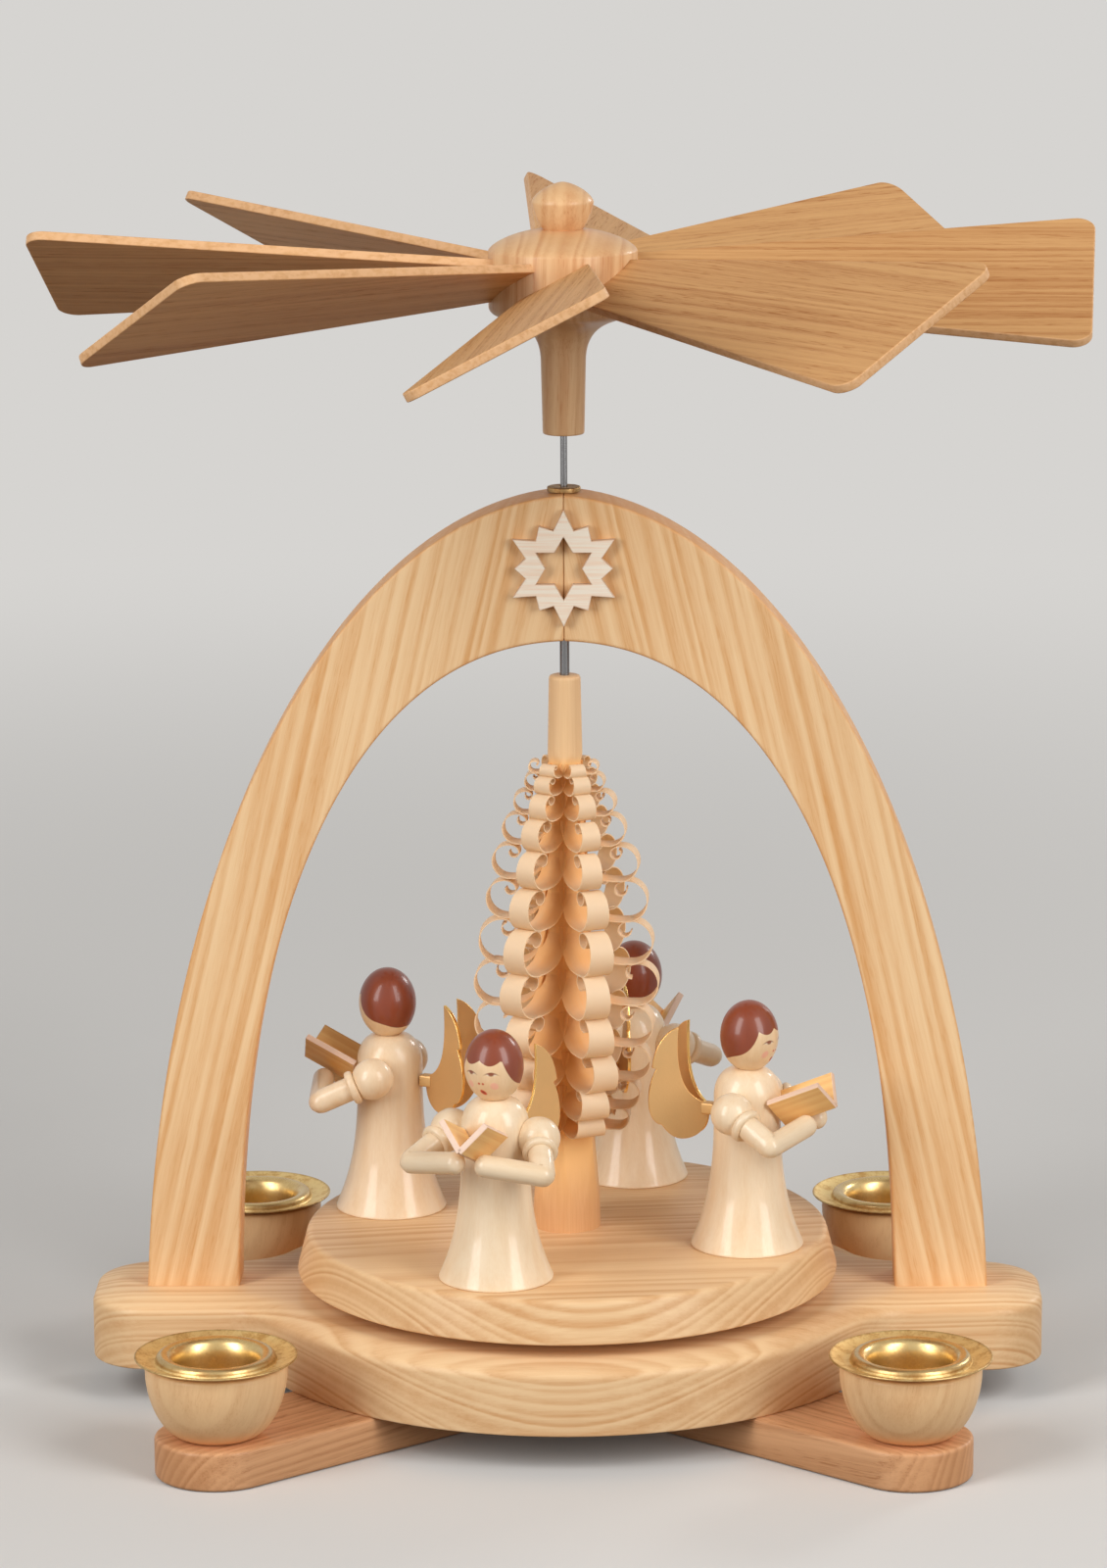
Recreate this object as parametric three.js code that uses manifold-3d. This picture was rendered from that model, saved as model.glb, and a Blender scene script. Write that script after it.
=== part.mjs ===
// Table Christmas pyramid: four candles warm the air, the air turns a bladed wheel,
// and the wheel carries a turntable with a shaved tree and four singing angels under an arch.
// Millimetres, +Z up, viewed from -Y. The origin lies on the spindle axis, on the table top.
import * as THREE from "three";
import { mergeVertices } from "three/addons/utils/BufferGeometryUtils.js";
import Module from "manifold-3d";

const wasm = await Module();
wasm.setup();

// Fits between neighbouring pieces
const glueGap = 0.3;
const runningGap = 0.2;
const bladeSlack = 0.2;

// Working allowances of the modelling itself
const toolOverrun = 1;
const mergeDistance = 1e-4;

// Cross bars
const barThickness = 8.5;
const barWidth = 26.5;
const barAngle = 40;

// Candle cups and their brass sockets
const cupGap = 11.6;
const candleRadius = 8.75;
const socketWall = 0.8;
const socketDepth = 12;
const trayRadius = 17.15;
const trayRise = 0.9;
const trayLip = 0.55;
const beadRadius = 1.2;
const beadInset = 1.9;
const cupWall = 5.1;
const cupFloor = 3;
const cupFootRadius = 8.8;
const cupBowlHeight = 11;
const cupTenonRadius = 4;
const cupTenonLength = 6;

// Base plate
const baseSide = 13.6;
const baseBevelDrop = 1.9;
const baseBevelWidth = 5.5;
const baseArcRadius = 72;
const baseLip = 4.25;
const earMargin = 11.6;
const earHalfDepth = 18;
const earCorner = 13;
const earFillet = 14;

// Turntable
const turntableRadius = 59.25;
const turntableThickness = 9.2;
const turntableTaper = 2.4;
const turntableEase = 0.7;
const turntableGap = 3.1;

// Arch, measured from the top of the base plate
const archThickness = 12.6;
const archSideGap = 12.8;
const archLegWidth = 20.35;
const archRise = 174.9;
const archCrown = 31.5;
const outerDatum = 14;
const outerPoint = 3.3;
const outerFullness = 2;
const innerDatum = 11.7;
const innerPoint = 3.2;
const innerFullness = 2.3;
const dowelRadius = 3;
const dowelInBase = 8;
const dowelInArch = 11;

// Star on the arch
const starPoints = 6;
const starLongPoint = 12.6;
const starShortPoint = 10.5;
const starNotch = 8.4;
const starHolePoint = 6.8;
const starHoleNotch = 3.9;
const starThickness = 2;
const starDrop = 15.4;

// Spindle, its top bush and its foot bearing
const spindleRadius = 1.05;
const spindleNeckRadius = 0.75;
const spindleTip = 2.4;
const bushFlangeRadius = 3.6;
const bushFlangeHeight = 1.1;
const bushSleeveRadius = 2.2;
const bushSleeveLength = 7;
const bearingRadius = 4;
const bearingHeight = 6;
const bearingRecess = 2.6;

// Hub
const spindleShow = 12.4;
const stemRadius = 4.45;
const stemTopRadius = 4.9;
const stemLength = 12;
const stemFlare = 15.5;
const flareEase = 0.65;
const drumRadius = 15.85;
const drumMargin = 0.9;
const domeRise = 4.6;
const knobNeckRadius = 4.4;
const knobRadius = 6.6;
const knobBowl = 6.2;
const knobCap = 3.8;
const hubBoreTop = 5;

// Blades
const bladeCount = 8;
const bladeTurn = -5;
const bladePitch = 28;
const bladeReach = 112;
const bladeTipWidth = 46;
const bladeRootWidth = 17;
const bladeThickness = 2;
const bladeCorner = 4;
const bladeTenon = 6.2;

// Shaved tree
const treeTurn = -4.5;
const treeArchGap = 8.4;
const treeTopRadius = 3.45;
const treeSleeve = 20;
const treeStem = 25;
const treeFootRadius = 7.4;
const treeCoreTop = 3.7;
const treeCoreFoot = 6.7;
const curlRows = 12;
const curlColumns = 6;
const curlThickness = 0.7;
const curlTopReach = 7.9;
const curlSmallRoll = 2.6;
const curlLargeRoll = 9.6;
const curlSwell = 1.15;
const curlSwellEnd = 1.1;
const curlWidest = 0.64;
const curlSpread = 1.6;
const curlTightening = 0.256;
const curlLeadIn = -25;
const curlEnd = 270;
const curlSteps = 5;
const curlWidthShare = 0.94;

// Angels, in a frame with +X the way the angel faces and Z = 0 on the turntable
const angelCount = 4;
const angelTurn = -20.3;
const angelEdgeGap = 2.6;
const angelTreeGap = 1.6;
const hemRadius = 12.4;
const hemEase = 0.6;
const gownWaist = 7.25;
const neckHeight = 39.4;
const shoulderDrop = 6.2;
const gownBand = 3.2;
const neckRadius = 2.7;
const headRadius = 6.3;
const headHeight = 15.6;
const headLead = 0.4;
const sleeveRadius = 4.6;
const sleeveDrop = 1.8;
const sleeveSeat = 2.65;
const cuffRadius = 3.8;
const cuffWidth = 1.8;
const elbowForward = 10.5;
const elbowSpread = 5;
const elbowDrop = 4.9;
const handForward = 4;
const handRise = 2;
const handGap = 3.4;
const stubRadius = 2.5;
const forearmRadius = 2.4;
const bookBodyGap = 1.45;
const bookDrop = 5.6;
const bookLength = 12.6;
const bookPage = 8;
const bookBoard = 1.4;
const bookHalfOpening = 39;
const bookTilt = 24;
const wingDrop = 4.7;
const wingSpread = 30;
const wingThickness = 0.8;
const wingSpan = 12.6;
const wingRise = 18.5;
const wingLobe = 7.4;
const wingNotch = 1.2;
const wingClip = 2.6;

// Facets of turned pieces
const wideSides = 48;
const turnedSides = 16;
const hubSides = 24;
const smallSides = 12;
const limbSides = 8;

// Heights and radii that follow from the sizes above
const rad = THREE.MathUtils.degToRad;
const baseTop = barThickness + baseSide + baseBevelDrop;
const baseDepth = turntableRadius + baseLip;
const baseArcOffset = baseArcRadius - baseDepth;
const archInnerHalf = turntableRadius + archSideGap;
const archOuterHalf = archInnerHalf + archLegWidth;
const earReach = archOuterHalf + earMargin;
const legCentre = archInnerHalf + archLegWidth / 2;
const archTop = baseTop + archRise;
const archInnerTop = archTop - archCrown;
const turntableFloor = baseTop + turntableGap;
const turntableTop = turntableFloor + turntableThickness;
const turntableTopRadius = turntableRadius - turntableTaper;
const hubFoot = archTop + spindleShow;
const drumHeight =
  bladeRootWidth * Math.sin(rad(bladePitch)) + bladeThickness * Math.cos(rad(bladePitch)) + 2 * drumMargin;
const drumFoot = hubFoot + stemLength + stemFlare;
const drumTop = drumFoot + drumHeight;
const bladeHeight = drumFoot + drumHeight / 2;
const spindleTop = drumTop - hubBoreTop;
const spindleFoot = baseTop - bearingRecess + runningGap;
const angelRing = turntableTopRadius - angelEdgeGap - hemRadius;
const shoulderHeight = neckHeight - shoulderDrop;
const gownFlare = shoulderHeight - gownBand;
const wingRootHeight = shoulderHeight - wingDrop;
const wingBack = gownWaist + glueGap + wingClip / 2 + wingSpan * Math.cos(rad(wingSpread));
const treeReach = angelRing - wingBack - angelTreeGap;
const treeTop = archInnerTop - treeArchGap;
const curlTop = treeTop - treeSleeve;
const curlFoot = turntableTop + treeStem;
const socketOuter = candleRadius + socketWall;
const cupBore = socketOuter + glueGap;
const cupRim = cupBore + cupWall;
const cupHeight = cupFloor + socketWall + socketDepth;

// The base plate's edge along a bar, from which the cups keep their distance
const barHeading = rad(barAngle);
const baseEdgeAlongBar =
  Math.sqrt(baseArcRadius ** 2 - (baseArcOffset * Math.cos(barHeading)) ** 2) -
  baseArcOffset * Math.sin(barHeading);
const cupReach = baseEdgeAlongBar + cupGap + trayRadius;

// Finishes
const finish = (color, roughness, metalness = 0) => ({ color, roughness, metalness });
const ash = finish(0xe0b27a, 0.5);
const maple = finish(0xeed3a4, 0.35);
const shaving = finish(0xedc594, 0.6);
const starWood = finish(0xe6cdb4, 0.6);
const bookWood = finish(0xd9a765, 0.5);
const brass = finish(0xc9a24a, 0.28, 1);
const gilt = finish(0xd8a95a, 0.4, 1);
const steel = finish(0x8d8d8d, 0.3, 1);

function named(name, geometry, look) {
  const mesh = new THREE.Mesh(geometry, new THREE.MeshStandardMaterial(look));
  mesh.name = name;
  return mesh;
}

// Points of outlines and profiles, ends included
function arc(x, y, radius, from, to, steps) {
  return Array.from({ length: steps + 1 }, (_, i) => {
    const angle = from + ((to - from) * i) / steps;
    return [x + radius * Math.cos(angle), y + radius * Math.sin(angle)];
  });
}

// A quarter of an ellipse from one point to another, leaving the first one upright
function quarterOval([x0, y0], [x1, y1], steps) {
  return arc(0, 0, 1, 0, Math.PI / 2, steps).map(([cos, sin], i) => [
    i === steps ? x1 : x1 + (x0 - x1) * cos,
    y0 + (y1 - y0) * sin,
  ]);
}

function bend(corners, steps) {
  const points = corners.map(([x, y]) => new THREE.Vector2(x, y));
  const curve = points.length === 3
    ? new THREE.QuadraticBezierCurve(...points)
    : new THREE.CubicBezierCurve(...points);
  return curve.getPoints(steps).map((point) => point.toArray());
}

// A piece turned on a lathe: the profile is [radius, height], anticlockwise, on or round the axis
function turned(profile, sides = turnedSides) {
  const points = profile.map(([r, z]) => new THREE.Vector2(r, z));
  return new THREE.LatheGeometry(points, sides).rotateX(Math.PI / 2);
}

// A flat board: an outline in X and Y with a thickness along +Z
function board(outline, thickness, hole = []) {
  const flat = (points) => points.map(([x, y]) => new THREE.Vector2(x, y));
  const shape = new THREE.Shape(flat(outline));
  if (hole.length) shape.holes.push(new THREE.Path(flat(hole)));
  return new THREE.ExtrudeGeometry(shape, { depth: thickness, bevelEnabled: false });
}

// An upright board: the outline is in X and Z, the thickness is centred on Y = 0
function uprightBoard(outline, thickness, hole) {
  return board(outline, thickness, hole)
    .translate(0, 0, -thickness / 2)
    .rotateX(Math.PI / 2);
}

// A skin over rings of equal count, closed by its two end faces
function loft(rings, endFaces) {
  const count = rings[0].length;
  const faces = endFaces ?? Array.from({ length: count - 2 }, (_, i) => [0, i + 1, i + 2]);
  const last = (rings.length - 1) * count;
  const index = [];
  for (let k = 0; k + 1 < rings.length; k++) {
    for (let i = 0; i < count; i++) {
      const a = k * count + i;
      const b = k * count + ((i + 1) % count);
      index.push(a, b, b + count, a, b + count, a + count);
    }
  }
  for (const [a, b, c] of faces) index.push(a, c, b, last + a, last + b, last + c);
  const geometry = new THREE.BufferGeometry();
  geometry.setAttribute("position", new THREE.Float32BufferAttribute(rings.flat(2), 3));
  geometry.setIndex(index);
  return geometry;
}

// A round rod along straight stretches, mitred where it bends
function rod(path, radii, sides) {
  const up = new THREE.Vector3(0, 0, 1);
  const rings = path.map((point, k) => {
    const before = point.clone().sub(path[Math.max(k - 1, 0)]).normalize();
    const after = path[Math.min(k + 1, path.length - 1)].clone().sub(point).normalize();
    const along = k > 0 ? before : after;
    const mitre = along.clone().add(k + 1 < path.length ? after : before);
    const side = up.clone().cross(along).normalize();
    const rise = along.clone().cross(side);
    return Array.from({ length: sides }, (_, i) => {
      const angle = (2 * Math.PI * i) / sides;
      const spoke = side.clone().multiplyScalar(radii[k] * Math.cos(angle));
      spoke.addScaledVector(rise, radii[k] * Math.sin(angle));
      spoke.addScaledVector(along, -spoke.dot(mitre) / along.dot(mitre));
      return spoke.add(point).toArray();
    });
  });
  return loft(rings);
}

// Joining and cutting
function solid(geometry) {
  const bare = geometry.clone();
  bare.deleteAttribute("normal");
  bare.deleteAttribute("uv");
  const merged = mergeVertices(bare, mergeDistance);
  return new wasm.Manifold(
    new wasm.Mesh({
      numProp: 3,
      vertProperties: Float32Array.from(merged.attributes.position.array),
      triVerts: Uint32Array.from(merged.index.array),
    }),
  );
}

function geometryOf(body) {
  const { vertProperties, triVerts } = body.getMesh();
  const geometry = new THREE.BufferGeometry();
  geometry.setAttribute("position", new THREE.BufferAttribute(vertProperties, 3));
  geometry.setIndex(new THREE.BufferAttribute(triVerts, 1));
  geometry.computeVertexNormals();
  return geometry;
}

function cut(geometry, ...tools) {
  return geometryOf(tools.reduce((body, tool) => body.subtract(solid(tool)), solid(geometry)));
}

function joined(...geometries) {
  return geometryOf(geometries.map(solid).reduce((whole, body) => whole.add(body)));
}

// A round bar along Z, also the tool for boring a hole
function roundBar(radius, from, to) {
  return new THREE.CylinderGeometry(radius, radius, to - from, smallSides)
    .rotateX(Math.PI / 2)
    .translate(0, 0, (from + to) / 2);
}

// Cross bars: two round-ended bars, halved into each other, with a hole for each cup's tenon
function crossBar(name, heading, isUpper) {
  const quarter = Math.PI / 2;
  const outline = [
    ...arc(cupReach, 0, barWidth / 2, -quarter, quarter, 12),
    ...arc(-cupReach, 0, barWidth / 2, quarter, 3 * quarter, 12),
  ];
  const lap = new THREE.BoxGeometry(4 * barWidth, barWidth + 2 * glueGap, barThickness)
    .rotateZ(isUpper ? 2 * barHeading : -2 * barHeading)
    .translate(0, 0, isUpper ? 0 : barThickness);
  const holeFloor = barThickness - cupTenonLength - glueGap;
  const hole = roundBar(cupTenonRadius + glueGap, holeFloor, barThickness + toolOverrun);
  const holes = [1, -1].map((end) => hole.clone().translate(end * cupReach, 0, 0));
  const mesh = named(name, cut(board(outline, barThickness), lap, ...holes), ash);
  mesh.rotation.z = heading;
  return mesh;
}

// Base plate: a lens-shaped plate with two ears, its top edge eased by a wide shallow bevel
function baseOutline(inset) {
  const filletY = earHalfDepth + earFillet;
  const filletX = Math.sqrt((baseArcRadius + earFillet) ** 2 - (filletY + baseArcOffset) ** 2);
  const meeting = Math.atan2(filletY + baseArcOffset, filletX);
  const quarter = [
    ...arc(earReach - earCorner, earHalfDepth - earCorner, earCorner - inset, 0, Math.PI / 2, 6),
    ...arc(filletX, filletY, earFillet + inset, -Math.PI / 2, meeting - Math.PI, 5),
    ...arc(0, -baseArcOffset, baseArcRadius - inset, meeting, Math.PI / 2, 12).slice(1),
  ];
  const left = quarter.map(([x, y]) => [-x, y]).reverse();
  const back = [...quarter, ...left.slice(1)];
  const front = back.map(([x, y]) => [-x, -y]);
  return [...back, ...front];
}

function basePlate() {
  const levels = [
    [0, barThickness],
    [0, barThickness + baseSide],
    [baseBevelWidth, baseTop],
  ];
  const rings = levels.map(([inset, z]) => baseOutline(inset).map(([x, y]) => [x, y, z]));
  const flat = rings[0].map(([x, y]) => new THREE.Vector2(x, y));
  const plate = loft(rings, THREE.ShapeUtils.triangulateShape(flat, []));
  const toolTop = baseTop + toolOverrun;
  const bearingHole = roundBar(bearingRadius + glueGap, baseTop - bearingHeight, toolTop);
  const dowelHole = roundBar(dowelRadius + glueGap, baseTop - dowelInBase - glueGap, toolTop);
  const dowelHoles = [1, -1].map((side) => dowelHole.clone().translate(side * legCentre, 0, 0));
  return named("base_plate", cut(plate, bearingHole, ...dowelHoles), ash);
}

// Candle cup: a turned bowl with a tenon below and a bore for the socket
function candleCup(name) {
  const bowl = arc(0, 0, 1, -Math.PI / 2, 0, 4).map(([across, up]) => [
    cupFootRadius + (cupRim - cupFootRadius) * across,
    cupBowlHeight * (1 + up),
  ]);
  const profile = [
    [0, -cupTenonLength],
    [cupTenonRadius, -cupTenonLength],
    [cupTenonRadius, 0],
    ...bowl,
    [cupRim, cupHeight],
    [cupBore, cupHeight],
    [cupBore, cupFloor],
    [0, cupFloor],
  ];
  return named(name, turned(profile), ash);
}

// Brass socket: a tube with a floor, a raised bead round its mouth and a dished drip tray
function candleSocket(name) {
  const beadCentre = socketOuter + beadInset;
  const mouth = cupHeight + socketWall;
  const floor = cupFloor;
  const profile = [
    [0, floor],
    [socketOuter, floor],
    [socketOuter, cupHeight],
    [beadCentre + beadRadius, cupHeight],
    [trayRadius, cupHeight + trayRise],
    [trayRadius, cupHeight + trayRise + trayLip],
    ...arc(beadCentre, mouth, beadRadius, 0, Math.PI, 4),
    [candleRadius, mouth],
    [candleRadius, floor + socketWall],
    [0, floor + socketWall],
  ];
  return named(name, turned(profile), brass);
}

// Arch: two mirrored halves that meet at a seam, each bounded by two pointed, full ovals
function archCurve(half, rise, datum, point, fullness, steps) {
  const width = half + point;
  const height = (rise + datum) / (1 - (point / width) ** fullness) ** (1 / fullness);
  const from = Math.asin((datum / height) ** (fullness / 2));
  const to = Math.acos((point / width) ** (fullness / 2));
  return Array.from({ length: steps + 1 }, (_, i) => {
    const t = from + ((to - from) * i) / steps;
    const x = width * Math.cos(t) ** (2 / fullness) - point;
    const z = height * Math.sin(t) ** (2 / fullness) - datum;
    return [i === steps ? 0 : x, i === 0 ? 0 : z];
  });
}

function archHalf(name, side) {
  const outer = archCurve(archOuterHalf, archRise, outerDatum, outerPoint, outerFullness, 18);
  const innerRise = archRise - archCrown;
  const inner = archCurve(archInnerHalf, innerRise, innerDatum, innerPoint, innerFullness, 16);
  const outline = [...outer, ...inner.reverse()].map(([x, z]) => [side * x, baseTop + z]);
  const toolTop = archTop + toolOverrun;
  const spindleBore = roundBar(spindleRadius + 3 * runningGap, archInnerTop - archCrown, toolTop);
  const bushBore = roundBar(bushSleeveRadius + glueGap, archTop - bushSleeveLength, toolTop);
  const dowelHole = roundBar(
    dowelRadius + glueGap,
    baseTop - toolOverrun,
    baseTop + dowelInArch + glueGap,
  ).translate(side * legCentre, 0, 0);
  const half = uprightBoard(outline, archThickness);
  return named(name, cut(half, spindleBore, bushBore, dowelHole), ash);
}

function archDowel(name, side) {
  const peg = roundBar(dowelRadius, baseTop - dowelInBase, baseTop + dowelInArch);
  return named(name, peg.translate(side * legCentre, 0, 0), ash);
}

// Star: six long and six short points with a six-pointed opening
function starOutline(radii, corners) {
  return Array.from({ length: corners }, (_, i) => {
    const angle = Math.PI / 2 + (2 * Math.PI * i) / corners;
    const radius = radii[i % radii.length];
    return [radius * Math.cos(angle), radius * Math.sin(angle)];
  });
}

function star() {
  const outline = starOutline([starLongPoint, starNotch, starShortPoint, starNotch], 4 * starPoints);
  const opening = starOutline([starHolePoint, starHoleNotch], 2 * starPoints);
  const face = -(archThickness + starThickness) / 2;
  const plate = uprightBoard(outline, starThickness, opening);
  return named("star", plate.translate(0, face, archTop - starDrop), starWood);
}

// Spindle and its two bearings
function topBush() {
  const bore = spindleNeckRadius + runningGap;
  const sleeveFoot = archTop - bushSleeveLength;
  const profile = [
    [bore, sleeveFoot],
    [bushSleeveRadius, sleeveFoot],
    [bushSleeveRadius, archTop],
    [bushFlangeRadius, archTop],
    [bushFlangeRadius, archTop + bushFlangeHeight],
    [bore, archTop + bushFlangeHeight],
    [bore, sleeveFoot],
  ];
  return named("top_bush", turned(profile, smallSides), brass);
}

function pivotBearing() {
  const profile = [
    [0, baseTop - bearingHeight],
    [bearingRadius, baseTop - bearingHeight],
    [bearingRadius, baseTop],
    [2 * spindleRadius, baseTop],
    [0, baseTop - bearingRecess],
  ];
  return named("pivot_bearing", turned(profile, smallSides), brass);
}

function spindle() {
  const step = archTop - bushSleeveLength - runningGap;
  const profile = [
    [0, spindleFoot],
    [spindleRadius, spindleFoot + spindleTip],
    [spindleRadius, step - spindleRadius],
    [spindleNeckRadius, step],
    [spindleNeckRadius, spindleTop],
    [0, spindleTop],
  ];
  return named("spindle", turned(profile, smallSides), steel);
}

// Hub: stem, slotted drum, domed top and knob, turned from one piece
function hubProfile() {
  const flareFoot = hubFoot + stemLength;
  const knobFoot = drumTop + domeRise;
  const knobRidge = knobFoot + knobBowl;
  const flare = bend(
    [
      [stemTopRadius, flareFoot],
      [stemTopRadius, flareFoot + flareEase * stemFlare],
      [drumRadius, drumFoot - (1 - flareEase) * stemFlare],
      [drumRadius, drumFoot],
    ],
    5,
  );
  return [
    [0, hubFoot],
    [stemRadius, hubFoot],
    ...flare,
    ...quarterOval([drumRadius, drumTop], [knobNeckRadius, knobFoot], 3),
    ...bend([[knobNeckRadius, knobFoot], [knobRadius, knobFoot], [knobRadius, knobRidge]], 3).slice(1),
    ...quarterOval([knobRadius, knobRidge], [0, knobRidge + knobCap], 3).slice(1),
  ];
}

function bladeWidthAt(radius) {
  const share = (radius - drumRadius) / (bladeReach - drumRadius);
  return bladeRootWidth + (bladeTipWidth - bladeRootWidth) * share;
}

function bladeHeading(index) {
  return rad(bladeTurn) + (2 * Math.PI * index) / bladeCount;
}

function bladeSlot(index) {
  const from = drumRadius - bladeTenon - glueGap;
  const to = 2 * drumRadius;
  const width = bladeWidthAt(to) + 2 * glueGap;
  return new THREE.BoxGeometry(to - from, width, bladeThickness + 2 * bladeSlack)
    .translate((from + to) / 2, 0, 0)
    .rotateX(rad(bladePitch))
    .rotateZ(bladeHeading(index))
    .translate(0, 0, bladeHeight);
}

function hub() {
  const slots = Array.from({ length: bladeCount }, (_, i) => bladeSlot(i));
  const bore = roundBar(spindleNeckRadius + glueGap, hubFoot - toolOverrun, spindleTop + glueGap);
  return named("hub", cut(turned(hubProfile(), hubSides), bore, ...slots), ash);
}

// Blade: a tapering board with rounded tip corners, let into the hub at its pitch
function blade(index) {
  const root = drumRadius - bladeTenon;
  const slope = Math.atan2(bladeTipWidth - bladeRootWidth, 2 * (bladeReach - drumRadius));
  const cornerX = bladeReach - bladeCorner;
  const cornerY = bladeWidthAt(cornerX) / 2 - bladeCorner / Math.cos(slope);
  const sideAngle = Math.PI / 2 + slope;
  const outline = [
    [root, -bladeWidthAt(root) / 2],
    ...arc(cornerX, -cornerY, bladeCorner, -sideAngle, 0, 4),
    ...arc(cornerX, cornerY, bladeCorner, 0, sideAngle, 4),
    [root, bladeWidthAt(root) / 2],
  ];
  const plate = board(outline, bladeThickness).translate(0, 0, -bladeThickness / 2);
  const mesh = named(`blade_${index + 1}`, plate, ash);
  mesh.rotation.x = rad(bladePitch);
  const place = new THREE.Group();
  place.rotation.z = bladeHeading(index);
  place.position.z = bladeHeight;
  place.add(mesh);
  return place;
}

// Turntable: a disc with a tapered edge, bored for the spindle
function turntable() {
  const bore = spindleRadius + glueGap;
  const profile = [
    [bore, turntableFloor],
    [turntableRadius - turntableEase, turntableFloor],
    [turntableRadius, turntableFloor + turntableEase],
    [turntableTopRadius, turntableTop - turntableEase],
    [turntableTopRadius - turntableEase, turntableTop],
    [bore, turntableTop],
    [bore, turntableFloor],
  ];
  return named("turntable", turned(profile, wideSides), ash);
}

// Shaved tree: a stick with rows of curled shavings that are still fast to it
function curlRowSizes() {
  const rows = Array.from({ length: curlRows }, (_, i) => {
    const down = i / (curlRows - 1);
    const swell = Math.sin((Math.PI * down ** curlSwell) / curlSwellEnd);
    const spread = Math.sin((Math.PI * down) / (2 * curlWidest)) ** curlSpread;
    return {
      core: treeCoreTop + (treeCoreFoot - treeCoreTop) * down,
      roll: curlSmallRoll + (curlLargeRoll - curlSmallRoll) * swell,
      reach: curlTopReach + (treeReach - curlTopReach) * spread,
    };
  });
  const step = (i) => (i ? (rows[i - 1].roll + rows[i].roll) / 2 : 0);
  const stack = rows.map((_, i) => rows.slice(0, i + 1).reduce((sum, row, j) => sum + step(j), 0));
  const fit = (curlTop - curlFoot) / stack[curlRows - 1];
  return rows.map(({ core, roll, reach }, i) => ({
    core,
    reach,
    roll: roll * fit,
    height: curlTop - stack[i] * fit,
  }));
}

// One shaving in the plane of radius and height: a spiral whose curvature grows as it turns
function curlPath({ roll, reach, core, height }) {
  const k = curlTightening;
  const size = roll / (1 + Math.exp(-k * Math.PI));
  const spiral = (turn) => {
    const shrink = size * Math.exp(-k * turn);
    return [
      shrink * (Math.sin(turn) - k * Math.cos(turn)),
      -shrink * (Math.cos(turn) + k * Math.sin(turn)),
    ];
  };
  const [outermost] = spiral(Math.PI / 2);
  const [, lowest] = spiral(0);
  const loop = Array.from({ length: curlSteps + 1 }, (_, i) => {
    const [r, z] = spiral(rad(curlLeadIn + ((curlEnd - curlLeadIn) * i) / curlSteps));
    return [r - outermost + reach - curlThickness / 2, z - lowest + height - roll / 2];
  });
  const [startR, startZ] = loop[0];
  const insideR = core - 2 * curlThickness;
  return [[insideR, startZ - (startR - insideR) * Math.tan(rad(curlLeadIn))], ...loop];
}

function ribbon(path, width) {
  const half = curlThickness / 2;
  const normals = path.map((_, i) => {
    const [r0, z0] = path[Math.max(i - 1, 0)];
    const [r1, z1] = path[Math.min(i + 1, path.length - 1)];
    const length = Math.hypot(r1 - r0, z1 - z0);
    return [((z0 - z1) / length) * half, ((r1 - r0) / length) * half];
  });
  const below = path.map(([r, z], i) => [r - normals[i][0], z - normals[i][1]]);
  const above = path.map(([r, z], i) => [r + normals[i][0], z + normals[i][1]]);
  return uprightBoard([...below, ...above.reverse()], width);
}

function tree() {
  const profile = [
    [0, turntableTop],
    [treeFootRadius, turntableTop],
    [treeCoreFoot, curlFoot],
    [treeCoreTop, curlTop],
    [treeTopRadius, treeTop],
    [0, treeTop],
  ];
  const curls = curlRowSizes().flatMap((row) => {
    const width = 2 * row.core * Math.tan(Math.PI / curlColumns) * curlWidthShare;
    const curl = ribbon(curlPath(row), width);
    return Array.from({ length: curlColumns }, (_, column) =>
      curl.clone().rotateZ(rad(treeTurn) + (2 * Math.PI * column) / curlColumns),
    );
  });
  const bore = roundBar(spindleRadius + glueGap, turntableTop - toolOverrun, treeTop + toolOverrun);
  return named("tree", cut(joined(turned(profile, smallSides), ...curls), bore), shaving);
}

// Angel's gown: a bell with a rounded hem and a domed shoulder
function gown(name) {
  const steps = 4;
  const flare = Array.from({ length: steps }, (_, i) => {
    const share = (i + 1) / (steps + 1);
    return [gownWaist + (hemRadius - gownWaist) * (1 - share) ** 2, gownFlare * share];
  });
  const profile = [
    [0, 0],
    [hemRadius - hemEase, 0],
    [hemRadius, hemEase],
    ...flare,
    ...quarterOval([gownWaist, shoulderHeight], [neckRadius, neckHeight], 3),
    [0, neckHeight],
  ];
  return named(name, turned(profile), maple);
}

// Angel's head: an egg cut flat where it meets the gown
function head(name) {
  const half = headHeight / 2;
  const from = Math.asin(neckRadius / headRadius) - Math.PI / 2;
  const steps = 7;
  const profile = arc(0, 0, 1, from, Math.PI / 2, steps).map(([across, up], i) => [
    i === steps ? 0 : headRadius * across,
    half * up,
  ]);
  const lowest = profile[0][1];
  const egg = turned([[0, lowest], ...profile], smallSides);
  return named(name, egg.translate(headLead, 0, neckHeight - lowest), maple);
}

// Songbook: two boards meeting in a V along the spine, its far end raised
function bookGeometry(clearance) {
  const page = (side) =>
    new THREE.BoxGeometry(bookLength + 2 * clearance, bookBoard + 2 * clearance, bookPage + clearance)
      .translate(bookLength / 2, 0, (bookPage - clearance) / 2)
      .rotateX(-side * rad(bookHalfOpening));
  return joined(page(1), page(-1))
    .rotateY(-rad(bookTilt))
    .translate(gownWaist + bookBodyGap, 0, shoulderHeight - bookDrop);
}

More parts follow.
